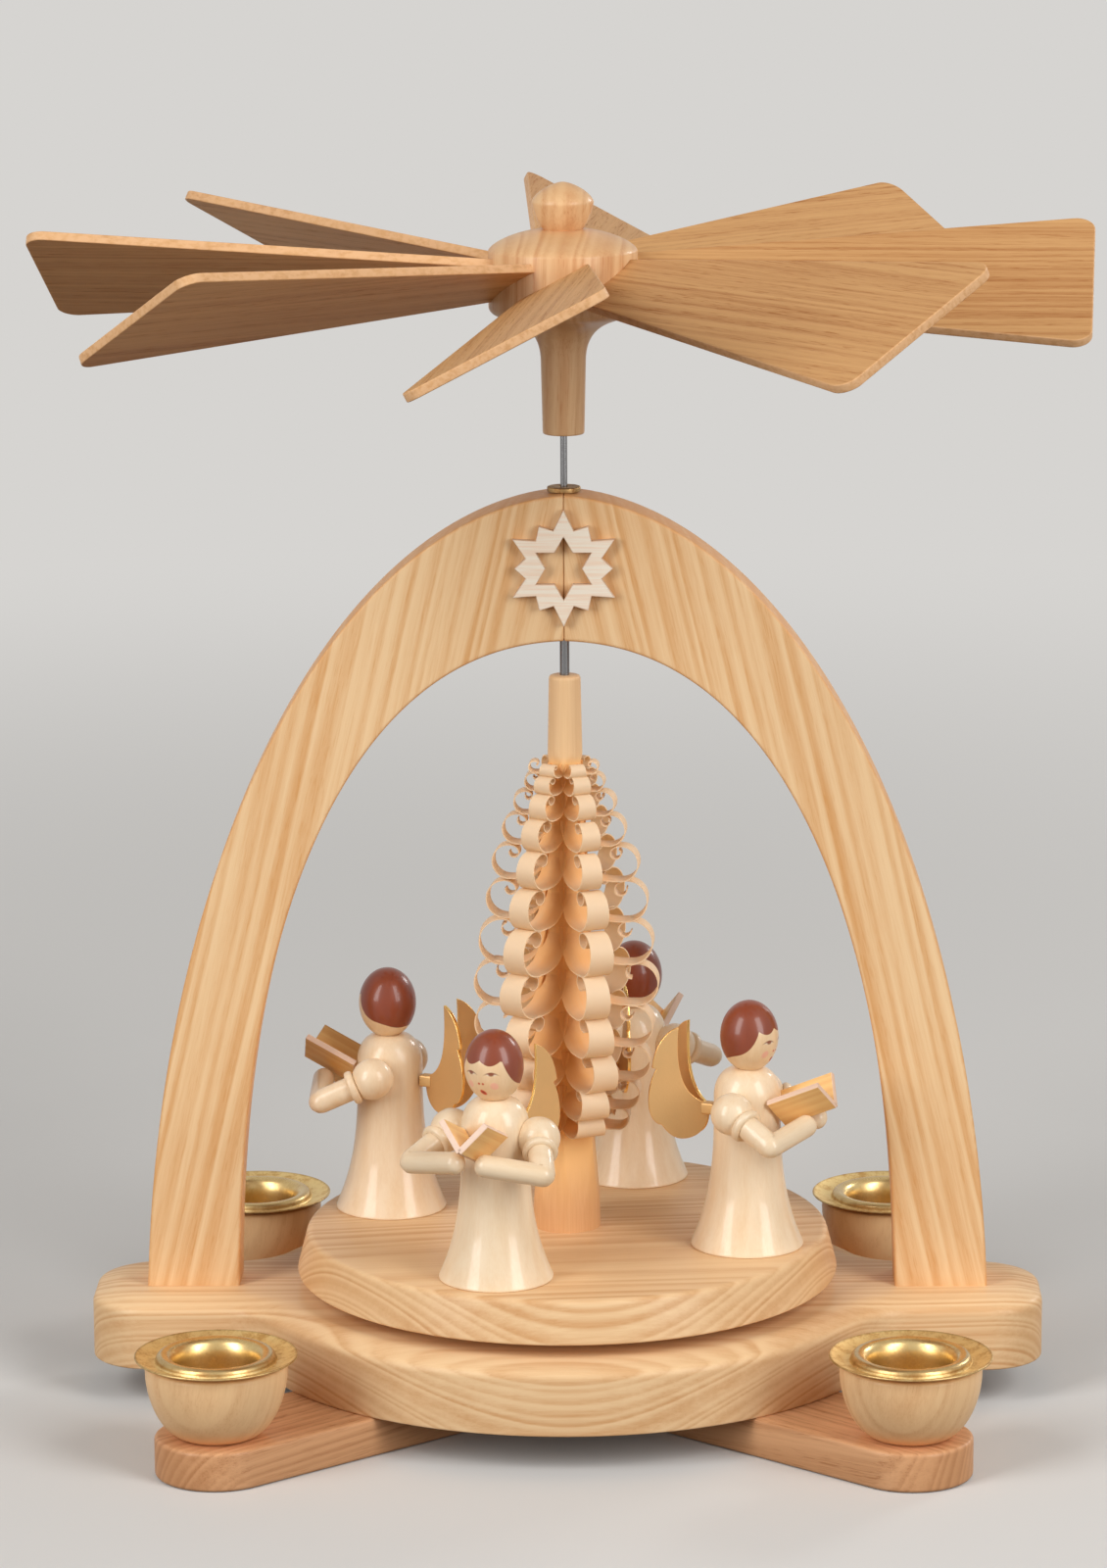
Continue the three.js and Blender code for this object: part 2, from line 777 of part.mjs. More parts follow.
// Arm: a puffed sleeve, a cuff, a stub to the elbow and a forearm mitred on to it
function arm(name, side) {
  const shoulder = new THREE.Vector3(0, side * (gownWaist + sleeveSeat), shoulderHeight - sleeveDrop);
  const elbow = shoulder.clone().add(new THREE.Vector3(elbowForward, side * elbowSpread, -elbowDrop));
  const hand = new THREE.Vector3(elbow.x + handForward, side * handGap, elbow.z + handRise);
  const towardsElbow = elbow.clone().sub(shoulder).normalize();
  const towardsHand = hand.clone().sub(elbow).normalize();
  const sleeve = new THREE.SphereGeometry(sleeveRadius, 10, 7).translate(...shoulder.toArray());
  const cuffFrom = shoulder.clone().addScaledVector(towardsElbow, sleeveRadius - cuffWidth / 2);
  const cuffTo = cuffFrom.clone().addScaledVector(towardsElbow, cuffWidth);
  const cuff = rod([cuffFrom, cuffTo], [cuffRadius, cuffRadius], limbSides);
  const fingertips = hand.clone().addScaledVector(towardsHand, forearmRadius / 2);
  const limb = rod(
    [shoulder, elbow, hand, fingertips],
    [stubRadius, forearmRadius, forearmRadius, forearmRadius / 2],
    limbSides,
  );
  const gownRoom = new THREE.BoxGeometry(3 * gownWaist, 2 * (gownWaist + glueGap), 2 * neckHeight);
  const bookRoom = bookGeometry(glueGap);
  gownRoom.translate(-gownWaist, 0, 0);
  return named(name, cut(joined(sleeve, cuff, limb), gownRoom, bookRoom), maple);
}

// Wings: two thin gilded plates spread in a V from a small clip on the back
function wingOutline() {
  const lobe = [wingSpan / 2, -wingLobe];
  const notch = [wingSpan - wingNotch, 0];
  const shoulder = [wingSpan, wingNotch];
  const tip = [wingSpan / 2 - wingNotch, wingRise];
  return [
    ...bend([[0, 0], [wingNotch, -wingLobe], lobe], 3),
    ...bend([lobe, [wingSpan, -wingLobe], notch], 3).slice(1),
    ...bend([shoulder, [wingSpan, wingRise / 2], tip], 4),
    ...bend([tip, [tip[0], wingRise / 2], [0, wingClip / 2]], 4).slice(1),
  ];
}

function wings(name) {
  const clipCentre = -gownWaist - glueGap - wingClip / 2;
  const plate = (side) =>
    uprightBoard(wingOutline(), wingThickness)
      .rotateZ(Math.PI - side * rad(wingSpread))
      .translate(clipCentre, 0, 0);
  const clip = new THREE.BoxGeometry(wingClip, wingClip, wingClip).translate(clipCentre, 0, 0);
  const geometry = joined(clip, plate(1), plate(-1));
  return named(name, geometry.translate(0, 0, wingRootHeight), gilt);
}

function angel(index) {
  const prefix = `angel_${index + 1}`;
  const figure = new THREE.Group();
  figure.add(
    gown(`${prefix}_gown`),
    head(`${prefix}_head`),
    arm(`${prefix}_arm_left`, 1),
    arm(`${prefix}_arm_right`, -1),
    named(`${prefix}_book`, bookGeometry(0), bookWood),
    wings(`${prefix}_wings`),
  );
  figure.position.set(angelRing, 0, turntableTop);
  const place = new THREE.Group();
  place.rotation.z = rad(angelTurn) + (2 * Math.PI * index) / angelCount;
  place.add(figure);
  return place;
}

// The four cups stand near the ends of the two bars
function candlePlace(heading, index) {
  const place = new THREE.Group();
  place.position.set(cupReach * Math.cos(heading), cupReach * Math.sin(heading), barThickness);
  place.rotation.z = heading;
  place.add(candleCup(`candle_cup_${index + 1}`), candleSocket(`candle_socket_${index + 1}`));
  return place;
}

const stand = new THREE.Group();
stand.add(
  crossBar("cross_bar_lower", barHeading, false),
  crossBar("cross_bar_upper", -barHeading, true),
  basePlate(),
  archHalf("arch_left", -1),
  archHalf("arch_right", 1),
  archDowel("arch_dowel_left", -1),
  archDowel("arch_dowel_right", 1),
  star(),
  topBush(),
  pivotBearing(),
  ...[barHeading, Math.PI - barHeading, Math.PI + barHeading, -barHeading].map(candlePlace),
);

const rotor = new THREE.Group();
rotor.add(
  spindle(),
  hub(),
  ...Array.from({ length: bladeCount }, (_, i) => blade(i)),
  turntable(),
  tree(),
  ...Array.from({ length: angelCount }, (_, i) => angel(i)),
);

const pyramid = new THREE.Group();
pyramid.add(stand, rotor);

export default pyramid;
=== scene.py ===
"""Looks of a table-top Christmas pyramid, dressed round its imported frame.

Every piece is a surface worked out with numpy from the sizes below, in metres and in the frame's own
axes: +Z up along the spindle, +X to the right along the arch, -Y towards the viewer.
"""

import math
from functools import partial

import bpy
import numpy as np
from mathutils import Matrix, Vector


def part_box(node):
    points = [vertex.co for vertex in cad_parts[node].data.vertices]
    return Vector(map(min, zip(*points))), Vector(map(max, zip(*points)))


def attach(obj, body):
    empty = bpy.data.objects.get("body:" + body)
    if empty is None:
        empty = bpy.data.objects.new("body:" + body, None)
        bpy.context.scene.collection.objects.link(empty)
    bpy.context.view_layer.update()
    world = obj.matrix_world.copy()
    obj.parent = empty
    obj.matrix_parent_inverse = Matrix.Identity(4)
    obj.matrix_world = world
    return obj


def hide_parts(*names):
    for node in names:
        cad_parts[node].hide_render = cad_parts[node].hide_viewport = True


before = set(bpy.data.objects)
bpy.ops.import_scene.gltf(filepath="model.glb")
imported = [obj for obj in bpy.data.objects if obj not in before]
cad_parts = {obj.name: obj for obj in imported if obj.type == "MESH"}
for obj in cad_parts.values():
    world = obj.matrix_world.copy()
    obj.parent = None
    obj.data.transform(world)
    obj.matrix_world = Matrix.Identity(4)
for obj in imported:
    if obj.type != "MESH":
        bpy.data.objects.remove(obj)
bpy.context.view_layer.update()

bl_info = {
    "name": "Christmas Pyramid",
    "version": (1, 0, 0),
    "blender": (4, 5, 0),
    "location": "View3D > Sidebar > Pyramid",
    "description": "Turned, sawn and shaved wooden pieces of a table-top Christmas pyramid",
    "category": "Object",
}

MM = 0.001
QUARTER = math.pi / 2
UP = np.array([0.0, 0.0, 1.0])
# Faces that meet at more than this angle are shaded with a sharp edge
CREASE = math.radians(38)
# Points closer than this are one point
WELD = 1e-7
# Points of the photograph from top to bottom
PICTURE_HEIGHT = 1600
# Width of the camera's sensor in millimetres
SENSOR = 36.0


# Properties


def amount(description, value, **kind):
    """A plain number."""
    return partial(bpy.props.FloatProperty, description=description, default=value, **kind)


def size(description, millimetres):
    """A length, given in millimetres and kept in metres."""
    return amount(description, millimetres * MM, precision=5, subtype="DISTANCE", unit="LENGTH")


def angle(description, degrees):
    """An angle, given in degrees and kept in radians."""
    return amount(description, math.radians(degrees), subtype="ANGLE", unit="ROTATION")


def share(description, value):
    """A plain factor."""
    return amount(description, value, subtype="FACTOR")


def count(description, value):
    """A whole number of pieces."""
    return partial(bpy.props.IntProperty, description=description, default=value, min=1)


def triple(description, values, **kind):
    """Three numbers."""
    default = [float(value) for value in values]
    return partial(bpy.props.FloatVectorProperty, description=description, default=default, size=3, **kind)


def location(description, *millimetres):
    """A place, given in millimetres and kept in metres."""
    return triple(description, np.array(millimetres) * MM, subtype="TRANSLATION", unit="LENGTH")


def colour(description, *screen):
    """A colour, given as 0 to 255 on the screen and kept as linear light."""
    levels = np.array(screen) / 255
    linear = np.where(levels > 0.04045, ((levels + 0.055) / 1.055) ** 2.4, levels / 12.92)
    return triple(description, linear, min=0, max=1, subtype="COLOR")


def named(group):
    """Makes the properties of a group, each with its key in plain words as its name."""
    for key, make in group.__annotations__.items():
        group.__annotations__[key] = make(name=key.replace("_", " ").capitalize())
    return group


def low(node, axis=2):
    """A node's lowest coordinate in millimetres."""
    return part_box(node)[0][axis] / MM


def high(node, axis=2):
    """A node's highest coordinate in millimetres."""
    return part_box(node)[1][axis] / MM


def middle(node, axis):
    """A node's middle coordinate in millimetres."""
    return (low(node, axis) + high(node, axis)) / 2


def over(node, height=0.0):
    """A place in metres above a node's middle, at a height."""
    return (middle(node, 0) * MM, middle(node, 1) * MM, height)


@named
class StandSizes(bpy.types.PropertyGroup):
    """Sizes of the pieces that stand still."""

    bar_top: size("Height of the crossed bars", high("cross_bar_lower"))
    bar_width: size("Width of the crossed bars", 26.5)
    bar_angle: angle("Heading of the bars from the line of the arch", 40)
    bar_ease: size("Rounding of the bars' edges", 0.9)
    lap_gap: size("Clearance in the lap of the bars", 0.3)
    cup_count: count("Number of candle cups", 4)
    cup_distance: size("From the spindle to a candle cup", math.hypot(*over("candle_cup_1")) / MM)
    cup_top: size("Height of the cups' rims", high("candle_cup_1"))
    cup_rim: size("Outer radius of a cup at its rim", 14.95)
    cup_bore: size("Radius of the bore for the socket", 9.85)
    cup_foot: size("Radius of a cup's flat foot", 7.2)
    cup_bowl: size("Height over which the bowl rounds out", 14)
    cup_point: amount("1 for a round bowl, more for one that draws in sooner", 1.1)
    cup_floor: size("Wood under the socket", 3)
    candle_radius: size("Inner radius of the brass socket", 8.75)
    socket_wall: size("Thickness of the brass", 0.8)
    tray_radius: size("Outer radius of the drip tray", 17.15)
    tray_rise: size("How far the tray's brim rises", 1.25)
    tray_lip: size("Thickness of the tray at its brim", 0.45)
    mouth_depth: size("Depth over which the socket's mouth narrows", 4.2)
    bead_radius: size("Radius of the bead round the socket's mouth", 1.2)
    bead_inset: size("From the socket's outside to the middle of the bead", 1.9)
    base_top: size("Height of the base plate's top", high("base_plate"))
    base_length: size("From the spindle to the end of an ear", high("base_plate", 0))
    base_depth: size("From the spindle to the front of the plate", high("base_plate", 1))
    base_arc: size("Radius of the plate's front and back edges", 72)
    base_bevel_width: size("Width of the bevel round the plate's top", 5.5)
    base_bevel_drop: size("Drop of the bevel round the plate's top", 1.9)
    ear_half_depth: size("Half the depth of an ear", 18)
    ear_corner: size("Radius of an ear's corners", 13)
    ear_fillet: size("Radius of the hollow between ear and plate", 14)
    arch_top: size("Height of the crown", high("arch_right"))
    arch_half: size("Half the arch's width over its feet", high("arch_right", 0))
    arch_leg: size("Width of a leg at its foot", 20.35)
    arch_crown: size("Height of the wood at the crown", 31.5)
    arch_thickness: size("Thickness of the arch's board", 12.6)
    arch_ease: size("Rounding of the arch's edges", 0.7)
    arch_grain: angle("Lean of the arch's grain from level", 77)
    outer_datum: size("How far below the foot the outer oval is widest", 14)
    outer_point: size("How far past the seam the outer oval runs", 3.3)
    outer_fullness: amount("Exponent of the outer oval", 2)
    inner_datum: size("How far below the foot the inner oval is widest", 11.7)
    inner_point: size("How far past the seam the inner oval runs", 3.2)
    inner_fullness: amount("Exponent of the inner oval", 2.3)
    seam_ease: size("Rounding of the edges at the seam", 0.22)
    star_height: size("Height of the star's middle", middle("star", 2))
    star_long: size("Reach of the long points", 12.6)
    star_short: size("Reach of the short points", 10.5)
    star_notch: size("Radius of the notches between the points", 8.4)
    star_hole_point: size("Reach of the opening's points", 6.8)
    star_hole_notch: size("Radius of the opening's notches", 3.9)
    star_thickness: size("Thickness of the star", 2)
    star_ease: size("Rounding of the star's edges", 0.22)
    bush_flange: size("Radius of the bush's flange", 3.6)
    bush_rise: size("Height of the bush's flange", 1.1)
    bush_sleeve: size("Radius of the bush in the wood", 2.2)
    bush_depth: size("Length of the bush in the wood", 7)
    bush_bore: size("Radius of the bush's bore", 0.95)
    bearing_recess: size("Depth of the cone in the foot bearing", 2.6)


@named
class WheelSizes(bpy.types.PropertyGroup):
    """Sizes of the spindle and the bladed wheel."""

    spindle_foot: size("Height of the spindle's point", low("spindle"))
    spindle_top: size("Height of the spindle's end in the hub", high("spindle"))
    spindle_radius: size("Radius below the bush", 1.05)
    spindle_neck: size("Radius from the bush up", 0.75)
    spindle_tip: size("Length of the pointed foot", 2.4)
    hub_foot: size("Height of the hub's foot", low("hub"))
    hub_top: size("Height of the knob's top", high("hub"))
    stem_radius: size("Radius of the hub's stem at its foot", 4.45)
    stem_top: size("Radius of the hub's stem below the flare", 4.8)
    stem_length: size("Length of the straight stem", 15.4)
    flare_length: size("Length of the flare up to the drum", 12.1)
    flare_ease: share("How long the flare stays slim", 0.92)
    drum_ease: share("How far the drum's foot rounds into the flare", 0.35)
    drum_radius: size("Radius of the slotted drum", 15.85)
    dome_rise: size("Rise of the dome on the drum", 4.6)
    crown_point: amount("1 for a round dome and knob, more for pointed ones", 1.3)
    knob_neck: size("Radius of the knob's foot", 4.2)
    knob_radius: size("Radius of the knob's ridge", 6.6)
    knob_bowl: size("Height of the knob below its ridge", 5.7)
    knob_cap: size("Height of the knob above its ridge", 4.3)
    blade_count: count("Number of blades", 8)
    blade_turn: angle("Heading of the first blade", -5)
    blade_pitch: angle("Slant of the blades", 28)
    blade_reach: size("From the spindle to a blade's end", 112)
    blade_tip: size("Width of a blade at its end", 46)
    blade_root: size("Width of a blade at the drum", 17)
    blade_thickness: size("Thickness of a blade", 2)
    blade_corner: size("Radius of a blade's corners", 4)
    blade_tenon: size("How deep a blade sits in the drum", 6.2)
    blade_ease: size("Rounding of a blade's edges", 0.3)


@named
class TableSizes(bpy.types.PropertyGroup):
    """Sizes of the turntable and the shaved tree."""

    table_floor: size("Height of the turntable's underside", low("turntable"))
    table_top: size("Height of the turntable's top", high("turntable"))
    table_radius: size("Radius of the turntable at its foot", high("turntable", 0))
    table_taper: size("How far the edge leans in", 2.4)
    table_ease: size("Rounding of the turntable's edges", 1.3)
    tree_top: size("Height of the stick's top", high("tree"))
    tree_turn: angle("Heading of the first column of curls", -4.5)
    stick_foot: size("Radius of the stick on the turntable", 7.4)
    stick_low: size("Radius of the stick at the lowest curls", 6.7)
    stick_high: size("Radius of the stick at the topmost curls", 3.8)
    stick_top: size("Radius of the stick at its top", 3.4)
    stick_bare_foot: size("Length of the stick below the curls", 25)
    stick_bare_top: size("Length of the stick above the curls", 20)
    curl_rows: count("Rows of curls, one above the other", 12)
    curl_columns: count("Columns of curls round the stick", 6)
    curl_thickness: size("Thickness of a shaving", 0.26)
    curl_top_reach: size("Reach of the topmost curls", 7.9)
    curl_reach: size("Reach of the widest curls", 20.5)
    curl_small: size("Height of the topmost curls", 2.6)
    curl_large: size("Height of the largest curls", 9.6)
    curl_swell: amount("Exponent that moves the largest curls down", 1.15)
    curl_swell_end: amount("How far past the foot the swell ends", 1.1)
    curl_widest: share("Where the curls reach furthest, from the top down", 0.64)
    curl_spread: amount("Exponent of the reach", 1.6)
    curl_start: angle("Heading in which a shaving leaves the stick", -86)
    curl_lift: share("Height of a shaving's start above its lowest point, over its roll", 0.9)
    curl_hug: amount("Exponent that keeps a shaving along the stick", 0.62)
    curl_close: angle("Heading at which the hoop closes to the tight end", 208)
    curl_soft: angle("Turn over which the hoop closes", 21)
    curl_tight: share("Radius of the tight end over that of the hoop", 0.29)
    curl_end: angle("Heading at which the tight end stops", 515)
    curl_width: share("Width of a shaving at the stick as a share of its face", 1.32)
    curl_tip: share("Width of a shaving's tip as a share of its face", 0.62)
    curl_jitter: share("Unevenness of the hand-cut curls", 0.06)


@named
class AngelSizes(bpy.types.PropertyGroup):
    """Sizes of an angel, in a frame with +X the way it faces and Z = 0 on the turntable."""

    angel_count: count("Number of angels", 4)
    angel_turn: angle("Heading of the first angel", -20.3)
    angel_ring: size("From the spindle to an angel's middle", 41.85)
    hem: size("Radius of the gown at its hem", 12.4)
    hem_ease: size("Rounding of the hem", 0.9)
    waist: size("Radius of the gown above its flare", 7.25)
    flare: size("Height over which the gown flares", 30)
    flare_power: amount("How late the gown flares", 2.7)
    shoulder: size("Height at which the shoulders round in", 33.2)
    neck_height: size("Height of the gown's top", 39.4)
    neck: size("Radius of the gown's top", 2.7)
    head_radius: size("Half the head's width", 6.3)
    head_height: size("Height of the whole egg", 15.6)
    head_lead: size("How far the head sits forward", 0.4)
    head_turn: angle("How far the head looks to its right", -6)
    sleeve: size("Radius of the puffed sleeve", 4.6)
    sleeve_drop: size("Sleeve's middle below the shoulder", 1.8)
    sleeve_seat: size("Sleeve's middle outside the waist", 2.65)
    cuff: size("Radius of the cuff", 3.8)
    cuff_width: size("Width of the cuff", 1.8)
    elbow_forward: size("Elbow in front of the shoulder", 10.5)
    elbow_spread: size("Elbow outside the shoulder", 5)
    elbow_drop: size("Elbow below the shoulder", 4.9)
    hand_forward: size("Hand in front of the elbow", 4)
    hand_rise: size("Hand above the elbow", 2)
    hand_gap: size("Hand from the middle", 3.4)
    stub: size("Radius of the upper arm at the sleeve", 2.7)
    forearm: size("Radius of the forearm", 2.4)
    elbow_ease: size("Rounding of the mitred elbow", 0.45)
    book_gap: size("From the gown to the book", 1.45)
    book_drop: size("Spine's near end below the shoulder", 5.6)
    book_length: size("Length of the spine", 12.6)
    book_page: size("Width of a page", 8)
    book_board: size("Thickness of a board", 1.4)
    book_opening: angle("Slant of a page from upright", 39)
    book_tilt: angle("Rise of the spine's far end", 24)
    book_ease: size("Rounding of the boards' edges", 0.2)
    wing_root: size("Height of the wings' clip", 29.5)
    wing_spread: angle("Half the angle between the wings", 30)
    wing_thickness: size("Thickness of the wings", 0.8)
    wing_span: size("Width of a wing", 13.4)
    wing_rise: size("Height of the tip above the clip", 18.3)
    wing_lobe: size("Depth of the lowest feather below the clip", 6.6)
    wing_ease: size("Rounding of the wings' edges", 0.16)
    wing_clip: size("Size of the clip", 2.6)
    wing_clip_gap: size("Between the gown and the clip", 0.3)


@named
class FinishColours(bpy.types.PropertyGroup):
    """Colours of the woods, metals and paints."""

    arch_pale: colour("Pale wood of the arch", 248, 213, 166)
    arch_line: colour("Year rings of the arch", 222, 164, 104)
    # Painted shade: a darker, warmer colour on the arch's sides, its inner and outer curves
    arch_side_shade: colour("Sawn edges of the arch", 230, 166, 104)
    base_pale: colour("Pale wood of base plate and turntable", 246, 210, 163)
    base_line: colour("Year rings of base plate and turntable", 211, 154, 99)
    bar_pale: colour("Pale wood of the crossed bars", 228, 174, 128)
    bar_line: colour("Year rings of the crossed bars", 178, 120, 76)
    blade_pale: colour("Pale wood of the blades", 220, 169, 113)
    blade_line: colour("Year rings of the blades", 176, 116, 67)
    blade_edge: colour("Sawn edges of the blades", 236, 190, 144)
    hub_pale: colour("Pale wood of the hub", 234, 194, 146)
    hub_line: colour("Year rings of the hub", 206, 146, 96)
    cup_pale: colour("Pale wood of the candle cups", 248, 207, 156)
    cup_line: colour("Year rings of the candle cups", 219, 165, 114)
    star_pale: colour("Pale wood of the star", 255, 243, 224)
    star_line: colour("Grain of the star", 252, 227, 201)
    book_pale: colour("Boards of the songbooks", 255, 212, 142)
    book_line: colour("Grain of the songbooks", 240, 184, 114)
    book_edge: colour("Sawn edges of the songbooks", 238, 208, 192)
    maple_pale: colour("Pale wood of the angels", 246, 224, 192)
    maple_line: colour("Grain of the angels", 236, 206, 166)
    shaving_pale: colour("Outside of the shavings", 255, 235, 202)
    # Painted shade: the deeper orange of the shavings near the stick
    shaving_shade: colour("Shavings near the stick", 255, 204, 136)
    shaving_through: colour("Light that shines through the shavings", 255, 226, 180)
    stick_pale: colour("Bare wood of the tree's stick", 248, 208, 158)
    stick_line: colour("Grain of the tree's stick", 216, 160, 108)
    hair: colour("Painted hair", 150, 72, 44)
    eye: colour("Painted eyes and lashes", 140, 72, 46)
    lips: colour("Painted mouth and nose dots", 206, 60, 34)
    cheek: colour("Painted cheeks", 248, 184, 160)
    brass: colour("Brass of the candle sockets and bearings", 238, 210, 148)
    brass_dull: colour("Tarnish on the brass", 190, 140, 68)
    # Painted shade and dark reflection on the sockets, and the bush's own darkened brass
    brass_age_and_shade: colour("Darkened brass of the bush", 128, 84, 48)
    gilt: colour("Gilding of the wings", 222, 178, 120)
    # Painted highlight: the paler gold along the wings' edges
    gilt_edge_highlight: colour("Bright edges of the wings", 250, 206, 128)
    steel: colour("Steel of the spindle", 142, 142, 144)
    floor: colour("Pale floor near the pyramid", 224, 222, 219)
    bounce: colour("Floor as it lights the pyramid", 98, 89, 82)
    far_floor: colour("Floor and background far off", 214, 212, 209)


@named
class StageSettings(bpy.types.PropertyGroup):
    """Camera, lights and floor."""

    camera_right: size("Camera's place along X", 18.7)
    camera_back: size("Camera's place in front of the spindle", 1183.7)
    camera_height: size("Camera's height above the table", 387.4)
    camera_tilt: angle("How far the camera looks down", 12.036)
    camera_heading: angle("How far the camera looks to the right", -1.027)
    camera_roll: angle("Turn of the picture", -0.279)
    camera_focus: amount("Focal length in points of the picture", 5722.15)
    right_power: amount("Power of the tall light at the right front", 14.6)
    right_place: location("Middle of the tall light at the right", 980, -900, 760)
    left_power: amount("Power of the tall light at the left front", 14.4)
    left_place: location("Middle of the tall light at the left", -1000, -880, 760)
    tall_width: size("Width of the two tall lights", 600)
    tall_height: size("Height of the two tall lights", 1250)
    back_power: amount("Power of the small light at the right back", 3)
    back_place: location("Middle of the small light at the back", 920, 910, 650)
    back_size: size("Width and height of the small light", 300)
    aim_height: size("Height on the spindle at which the lights look", 120)
    world_level: amount("Strength of the light from all round", 0.38)
    floor_radius: size("Radius of the floor", 9000)
    floor_near: size("Distance at which the floor starts to turn into the background", 250)
    floor_far: size("Distance at which the floor has turned into the background", 1100)
    floor_drop: size("Gap between the bars' underside and the floor", 0.05)


# Shapes


class Shape:
    """A surface: points, faces as index arrays of equal corner count, and marks with a row per point.

    fibre is the direction of the grain at each point.
    """

    def __init__(self, points, faces, marks=None, fibre=None):
        self.points = np.asarray(points, float)
        self.faces = faces
        self.marks = dict(marks or {})
        self.fibre = fibre

    def grained(self, along, across, offset=(0, 0, 0)):
        """Marks millimetres along, across and through the wood, counted from an offset in the log."""
        axes = np.stack([unit(along), unit(across), np.cross(unit(along), unit(across))])
        self.marks["grain"] = self.points @ axes.T / MM + np.asarray(offset, float)
        self.fibre = np.broadcast_to(axes[0], self.points.shape)
        return self

    def moved(self, turn, shift=(0, 0, 0)):
        """The surface turned by a 3x3 matrix and then shifted."""
        fibre = None if self.fibre is None else self.fibre @ turn.T
        return Shape(self.points @ turn.T + np.asarray(shift, float), self.faces, self.marks, fibre)

    def shifted(self, place):
        """The surface shifted without a turn."""
        return self.moved(np.eye(3), place)


def unit(vector):
    """A vector, or rows of vectors, at length one."""
    vector = np.asarray(vector, float)
    return vector / np.linalg.norm(vector, axis=-1, keepdims=True)


def turn_about(axis, radians):
    """The 3x3 matrix of a turn about "X", "Y" or "Z"."""
    return np.array(Matrix.Rotation(radians, 3, axis))


def pointing(direction):
    """The 3x3 matrix that lays the Z axis along a direction."""
    return np.array(Vector(direction).to_track_quat("Z", "Y").to_matrix())


def joined(*shapes):
    """Several surfaces as one, with the marks that the first one has."""
    starts = np.cumsum([0] + [len(shape.points) for shape in shapes[:-1]])
    faces = [face + start for shape, start in zip(shapes, starts) for face in shape.faces]
    marks = {name: np.concatenate([shape.marks[name] for shape in shapes]) for name in shapes[0].marks}
    fibre = None
    if shapes[0].fibre is not None:
        fibre = np.concatenate([shape.fibre for shape in shapes])
    return Shape(np.concatenate([shape.points for shape in shapes]), faces, marks, fibre)


def grid_faces(rows, columns, ring=False):
    """Four-cornered faces of a grid whose columns run round anticlockwise and whose rows run up.

    In a ring the last row is joined to the first.
    """
    index = np.arange(rows * columns).reshape(rows, columns)
    if ring:
        index = np.concatenate([index, index[:1]])
    index = np.concatenate([index, index[:, :1]], axis=1)
    corners = [index[:-1, :-1], index[:-1, 1:], index[1:, 1:], index[1:, :-1]]
    return np.stack(corners, axis=-1).reshape(-1, 4)


def closed_faces(rows, columns):
    """Faces of a stack of rings, closed by one flat face at the first ring and one at the last."""
    ring = np.arange(columns)
    return [grid_faces(rows, columns), ring[::-1][None], (ring + (rows - 1) * columns)[None]]


def welded(points, quads, marks):
    """Points that lie on each other become one; a face that loses a corner becomes a triangle."""
    keys = np.round(points / WELD).astype(np.int64)
    _, first, inverse = np.unique(keys, axis=0, return_index=True, return_inverse=True)
    quads = inverse.reshape(-1)[quads]
    lost = quads == np.roll(quads, -1, axis=1)
    whole = quads[~lost.any(axis=1)]
    short = lost.sum(axis=1) == 1
    kept = (lost[short].argmax(axis=1)[:, None] + np.array([1, 2, 3])) % 4
    triangles = np.take_along_axis(quads[short], kept, axis=1)
    faces = [face for face in (whole, triangles) if len(face)]
    return Shape(points[first], faces, {name: mark[first] for name, mark in marks.items()})


def revolved(profile, sides=96, ring=False, **marks):
    """A turned piece: (r cos a, r sin a, z) for the profile's pairs r, z from the bottom up.

    A ring's profile closes on itself. Marks have one value for each point of the profile.
    """
    profile = np.asarray(profile, float)
    around = np.linspace(0, 2 * np.pi, sides, endpoint=False)
    r, z = profile[:, :1], profile[:, 1:]
    points = np.stack([r * np.cos(around), r * np.sin(around), z + 0 * around], axis=-1).reshape(-1, 3)
    spread = {name: np.repeat(np.asarray(mark, float), sides) for name, mark in marks.items()}
    return welded(points, grid_faces(len(profile), sides, ring), spread)


def inward(outline):
    """Mitred steps into an anticlockwise outline: the sum of both edges' normals over 1 + their product."""
    ahead = unit(np.roll(outline, -1, axis=0) - outline)
    normal = np.stack([-ahead[:, 1], ahead[:, 0]], axis=1)
    before = np.roll(normal, 1, axis=0)
    return (normal + before) / (1 + (normal * before).sum(axis=1, keepdims=True))


def raised(flat, heights):
    """Rows of flat outlines, each row at its own height: (rows, n, 3)."""
    level = np.broadcast_to(heights[:, None, None], (*flat.shape[:2], 1))
    return np.concatenate([flat, level], axis=2)


def rim(outline, profile):
    """A profile of insets and heights, from the bottom up, carried round an outline: (rows, n, 3)."""
    return raised(outline[None] + profile[:, 0, None, None] * inward(outline)[None], profile[:, 1])


def slab(rings, edge):
    """A board from the rings of its edge, closed by a flat face below and above.

    The mark "edge" is 1 on the board's side and 0 on its faces.
    """
    rows, columns = rings.shape[:2]
    marks = {"edge": np.repeat(np.asarray(edge, float), columns)}
    return Shape(rings.reshape(-1, 3), closed_faces(rows, columns), marks)


def board_edge(thickness, ease, reach=2.5):
    """A board's edge profile centred on height 0, a straight side with both its corners rounded.

    It starts and ends on the faces, at reach times the ease from the side. Its mark is 1 on the side.
    """
    half = thickness / 2
    inner = reach * ease
    profile = eased([[inner, -half], [0, -half], [0, half], [inner, half]], ease)
    return profile, np.clip(1 - profile[:, 0] / ease, 0, 1)


def board(outline, thickness, ease):
    """A flat board in X and Y with rounded edges, its middle at height 0."""
    profile, edge = board_edge(thickness, ease)
    return slab(rim(outline, profile), edge)


